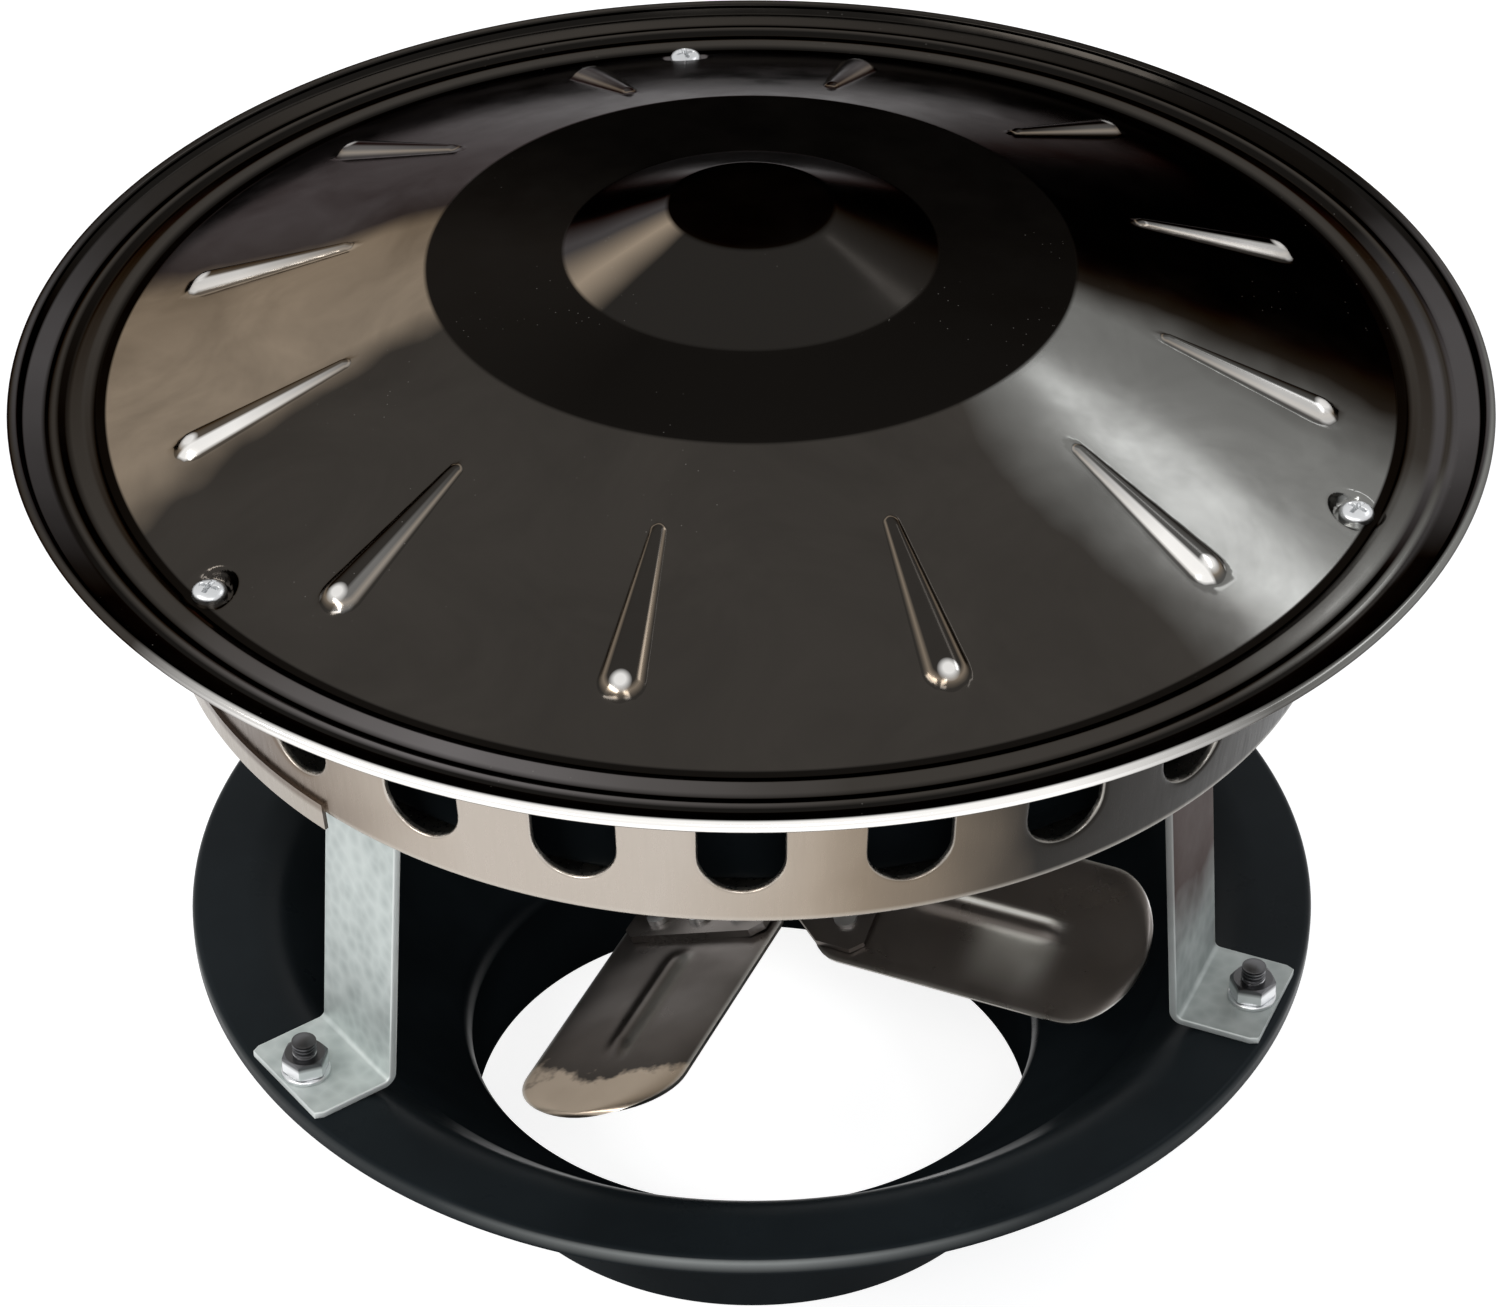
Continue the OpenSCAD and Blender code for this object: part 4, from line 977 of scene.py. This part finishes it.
def make_blade(index):
    """A paddle blade with a pressed ridge along its middle."""
    round_from = BLADE_TIP - BLADE_ROUND
    xs = [BLADE_ROOT + BLADE_CORNER * (1 - math.cos(math.radians(90 * k / 6))) for k in range(6)]
    xs += list(np.linspace(BLADE_ROOT + BLADE_CORNER, round_from, 34))
    xs += [round_from + BLADE_ROUND * math.sin(math.radians(90 * k / 14)) for k in range(1, 15)]
    columns = [math.sin(math.radians(v)) for v in np.linspace(-90, 90, 73)]
    verts, ridges = zip(*[blade_point(x, u, index == 1) for x in xs for u in columns])
    n = len(columns)
    faces = [(i * n + j, (i + 1) * n + j, (i + 1) * n + j + 1, i * n + j + 1)
             for i in range(len(xs) - 1) for j in range(n - 1)]
    name = "paddle_%d" % (index + 1)
    mesh = bpy.data.meshes.new(name)
    mesh.from_pydata([(a * MM, b * MM, c * MM) for a, b, c in verts], [], faces)
    # the painted highlight at each point, for the blade material
    mesh.attributes.new("ridge", "FLOAT", "POINT").data.foreach_set("value", ridges)
    bm = bmesh.new()
    bm.from_mesh(mesh)
    bmesh.ops.remove_doubles(bm, verts=bm.verts, dist=1e-6)
    finish_bmesh(bm, mesh)
    mesh.transform(blade_matrix(index))
    piece = add_piece(name, mesh, "blade_steel", FAN, "blade_%d" % (index + 1))
    solid = piece.modifiers.new("thickness", "SOLIDIFY")
    solid.thickness = BLADE_T * MM
    solid.offset = 0.0
    bevel = piece.modifiers.new("edge", "BEVEL")
    bevel.width = 0.4 * MM
    bevel.segments = 3
    bevel.limit_method = "ANGLE"
    bevel.angle_limit = math.radians(50)


# ---------- fasteners ----------

def hex_radius(angle, flats):
    """Radius of a hexagon, with a flat facing outwards along angle 0."""
    a = (math.degrees(angle) + 30) % 60 - 30
    return flats / 2 / math.cos(math.radians(a))


def hex_nut(flats, height, bore, count):
    """A hexagon nut with both ends chamfered."""
    chamfer_r = flats / 2 * 0.97
    bored, chamfered, full = 0, 1, 2
    bottom = [(False, part) for part in (bored, chamfered, full)]
    rings = []
    for top, part in bottom + [(True, part) for _, part in bottom[::-1]]:
        ring = []
        for a in around(count):
            corner = hex_radius(a, flats)
            r = (bore, min(corner, chamfer_r), corner)[part]
            over = max(0.0, corner - chamfer_r) * math.tan(math.radians(30)) if part == full else 0.0
            ring.append((r * math.cos(a), r * math.sin(a), height - over if top else over))
        rings.append(ring)
    return lathe_rings(rings, count, True)


def merge(parts):
    """One list of vertices and one of faces for all the parts."""
    verts, faces = [], []
    for v, f in parts:
        offset = len(verts)
        verts += v
        faces += [[i + offset for i in face] for face in f]
    return verts, faces


def placed(part, r, az, z, spin=0.0):
    """A part moved out to radius r in direction az, and up to height z."""
    verts, faces = part
    a, t = math.radians(az), math.radians(az + spin)
    moved = [(r * math.cos(a) + x * math.cos(t) - y * math.sin(t),
              r * math.sin(a) + x * math.sin(t) + y * math.cos(t), z + h) for x, y, h in verts]
    return moved, faces


def hex_bolt(radius, length, pitch, flats, tall):
    """A bolt on its hexagon head: thread grooves from height 0 up, and a domed end."""
    count = 36
    turns = around(count)
    rings = [[(0, 0, -tall)]]
    for z, inset in ((-tall, 0.9), (0.6 - tall, 0.0), (0.0, 0.0)):
        rings.append([circle(hex_radius(a, flats) - inset, z, [a])[0] for a in turns])
    z = 0.0
    while z < length - pitch:
        for rise, share in ((0.0, 1.0), (0.35, 1.0), (0.5, 0.88), (0.85, 0.88)):
            rings.append(circle(radius * share, z + rise * pitch, turns))
        z += pitch
    for below, share in ((0.25, 1.0), (0.25, 0.8), (0.0, 0.55)):
        rings.append(circle(radius * share, length - below, turns))
    rings.append([(0, 0, length)])
    return lathe_rings(rings, count)


def make_foot_hardware():
    """A bolt from below, a washer and a nut at the foot of each leg."""
    washer_z = FLANGE_Z + LEG_T
    washer = lathe([(3.3, 0), (5.8, 0), (6.0, 0.2), (6.0, 1.0), (5.8, WASHER_T), (3.3, WASHER_T)], 64)
    nut = hex_nut(NUT_FLATS, NUT_H, 3.05, 72)
    bolt = hex_bolt(BOLT_R, BASE_T + LEG_T + WASHER_T + NUT_H + BOLT_BEYOND, 1.0, NUT_FLATS, BOLT_HEAD)
    washers, nuts, bolts = [], [], []
    for k, spin in enumerate((12, -20, 5)):
        az = LEG_AZ + 120 * k
        washers.append(placed(washer, FOOT_BOLT_R, az, washer_z))
        nuts.append(placed(nut, FOOT_BOLT_R, az, washer_z + WASHER_T, spin))
        bolts.append(placed(bolt, FOOT_BOLT_R, az, FLANGE_Z - BASE_T))
    new_piece("foot_washer_rings", *merge(washers), "zinc_fasteners", HOUSING, 30.0, "foot_washers")
    new_piece("foot_hex_nuts", *merge(nuts), "nut_zinc", HOUSING, 25.0, "foot_nuts", slot="zinc_fasteners")
    new_piece("foot_hex_bolts", *merge(bolts), "bolt_zinc", HOUSING, 30.0, "foot_bolts", slot="zinc_fasteners")


def pan_head(head_r, head_h, thread_r, length):
    """A pan-head screw with a cross recess in its dome; the thread is a plain pin below height 0."""
    count, steps, recess = 96, 19, 1.3
    turns = around(count)
    profile = [(head_r, 0.0), (head_r, head_h * 0.3)]
    for k in range(1, steps):
        a = math.radians(90 * k / steps)
        profile.append((head_r * math.cos(a) ** 0.8, head_h * (0.3 + 0.7 * math.sin(a))))
    rings = [[(0, 0, -length)], circle(thread_r, -length, turns), circle(thread_r, 0, turns)]
    for r, z in profile:
        ring = []
        for x, y, h in circle(r, z, turns):
            arm, reach = sorted((abs(x), abs(y)))
            ring.append((x, y, h - recess * clamp((0.55 - arm) / 0.3) * clamp((head_r * 0.62 - reach) / 0.5)))
        rings.append(ring)
    rings.append([(0, 0, head_h - recess)])
    return lathe_rings(rings, count)


def make_hat_screws():
    """Three screws through the hat and the pan's flange into their nuts."""
    nut_h, beyond = 3.3, 1.0
    screw = pan_head(4.0, 2.6, 2.0, HAT_T + PAN_T + nut_h + beyond)
    parts = [placed(screw, HAT_SCREW_R, az, FOOT_Z, spin) for az, spin in zip(SCREW_AZ, (30, 75, 10))]
    new_piece("hat_screw_set", *merge(parts), "zinc_fasteners", HOUSING, 40.0, "hat_screws",
              slot="polished_stainless")


make_camera()
make_world()
make_floor()
area_light("key", (-1.1, -0.9, 1.35), (0, 0, 0.15), 1.3, 13.0, (1.0, 0.98, 0.95))
area_light("rim", (1.2, 0.5, 1.5), (0, 0, 0.2), 1.1, 2.5, (0.95, 0.97, 1.0))
area_light("front", (0.15, -1.25, 1.25), (0, 0, 0.2), 0.5, 3.0)
make_hat()
make_pan()
make_base()
for number, leg in enumerate(("leg_left", "leg_right", "leg_rear")):
    make_leg(number, leg)
for number in range(4):
    make_blade(number)
make_foot_hardware()
make_hat_screws()

bpy.context.scene.view_settings.view_transform = "Standard"
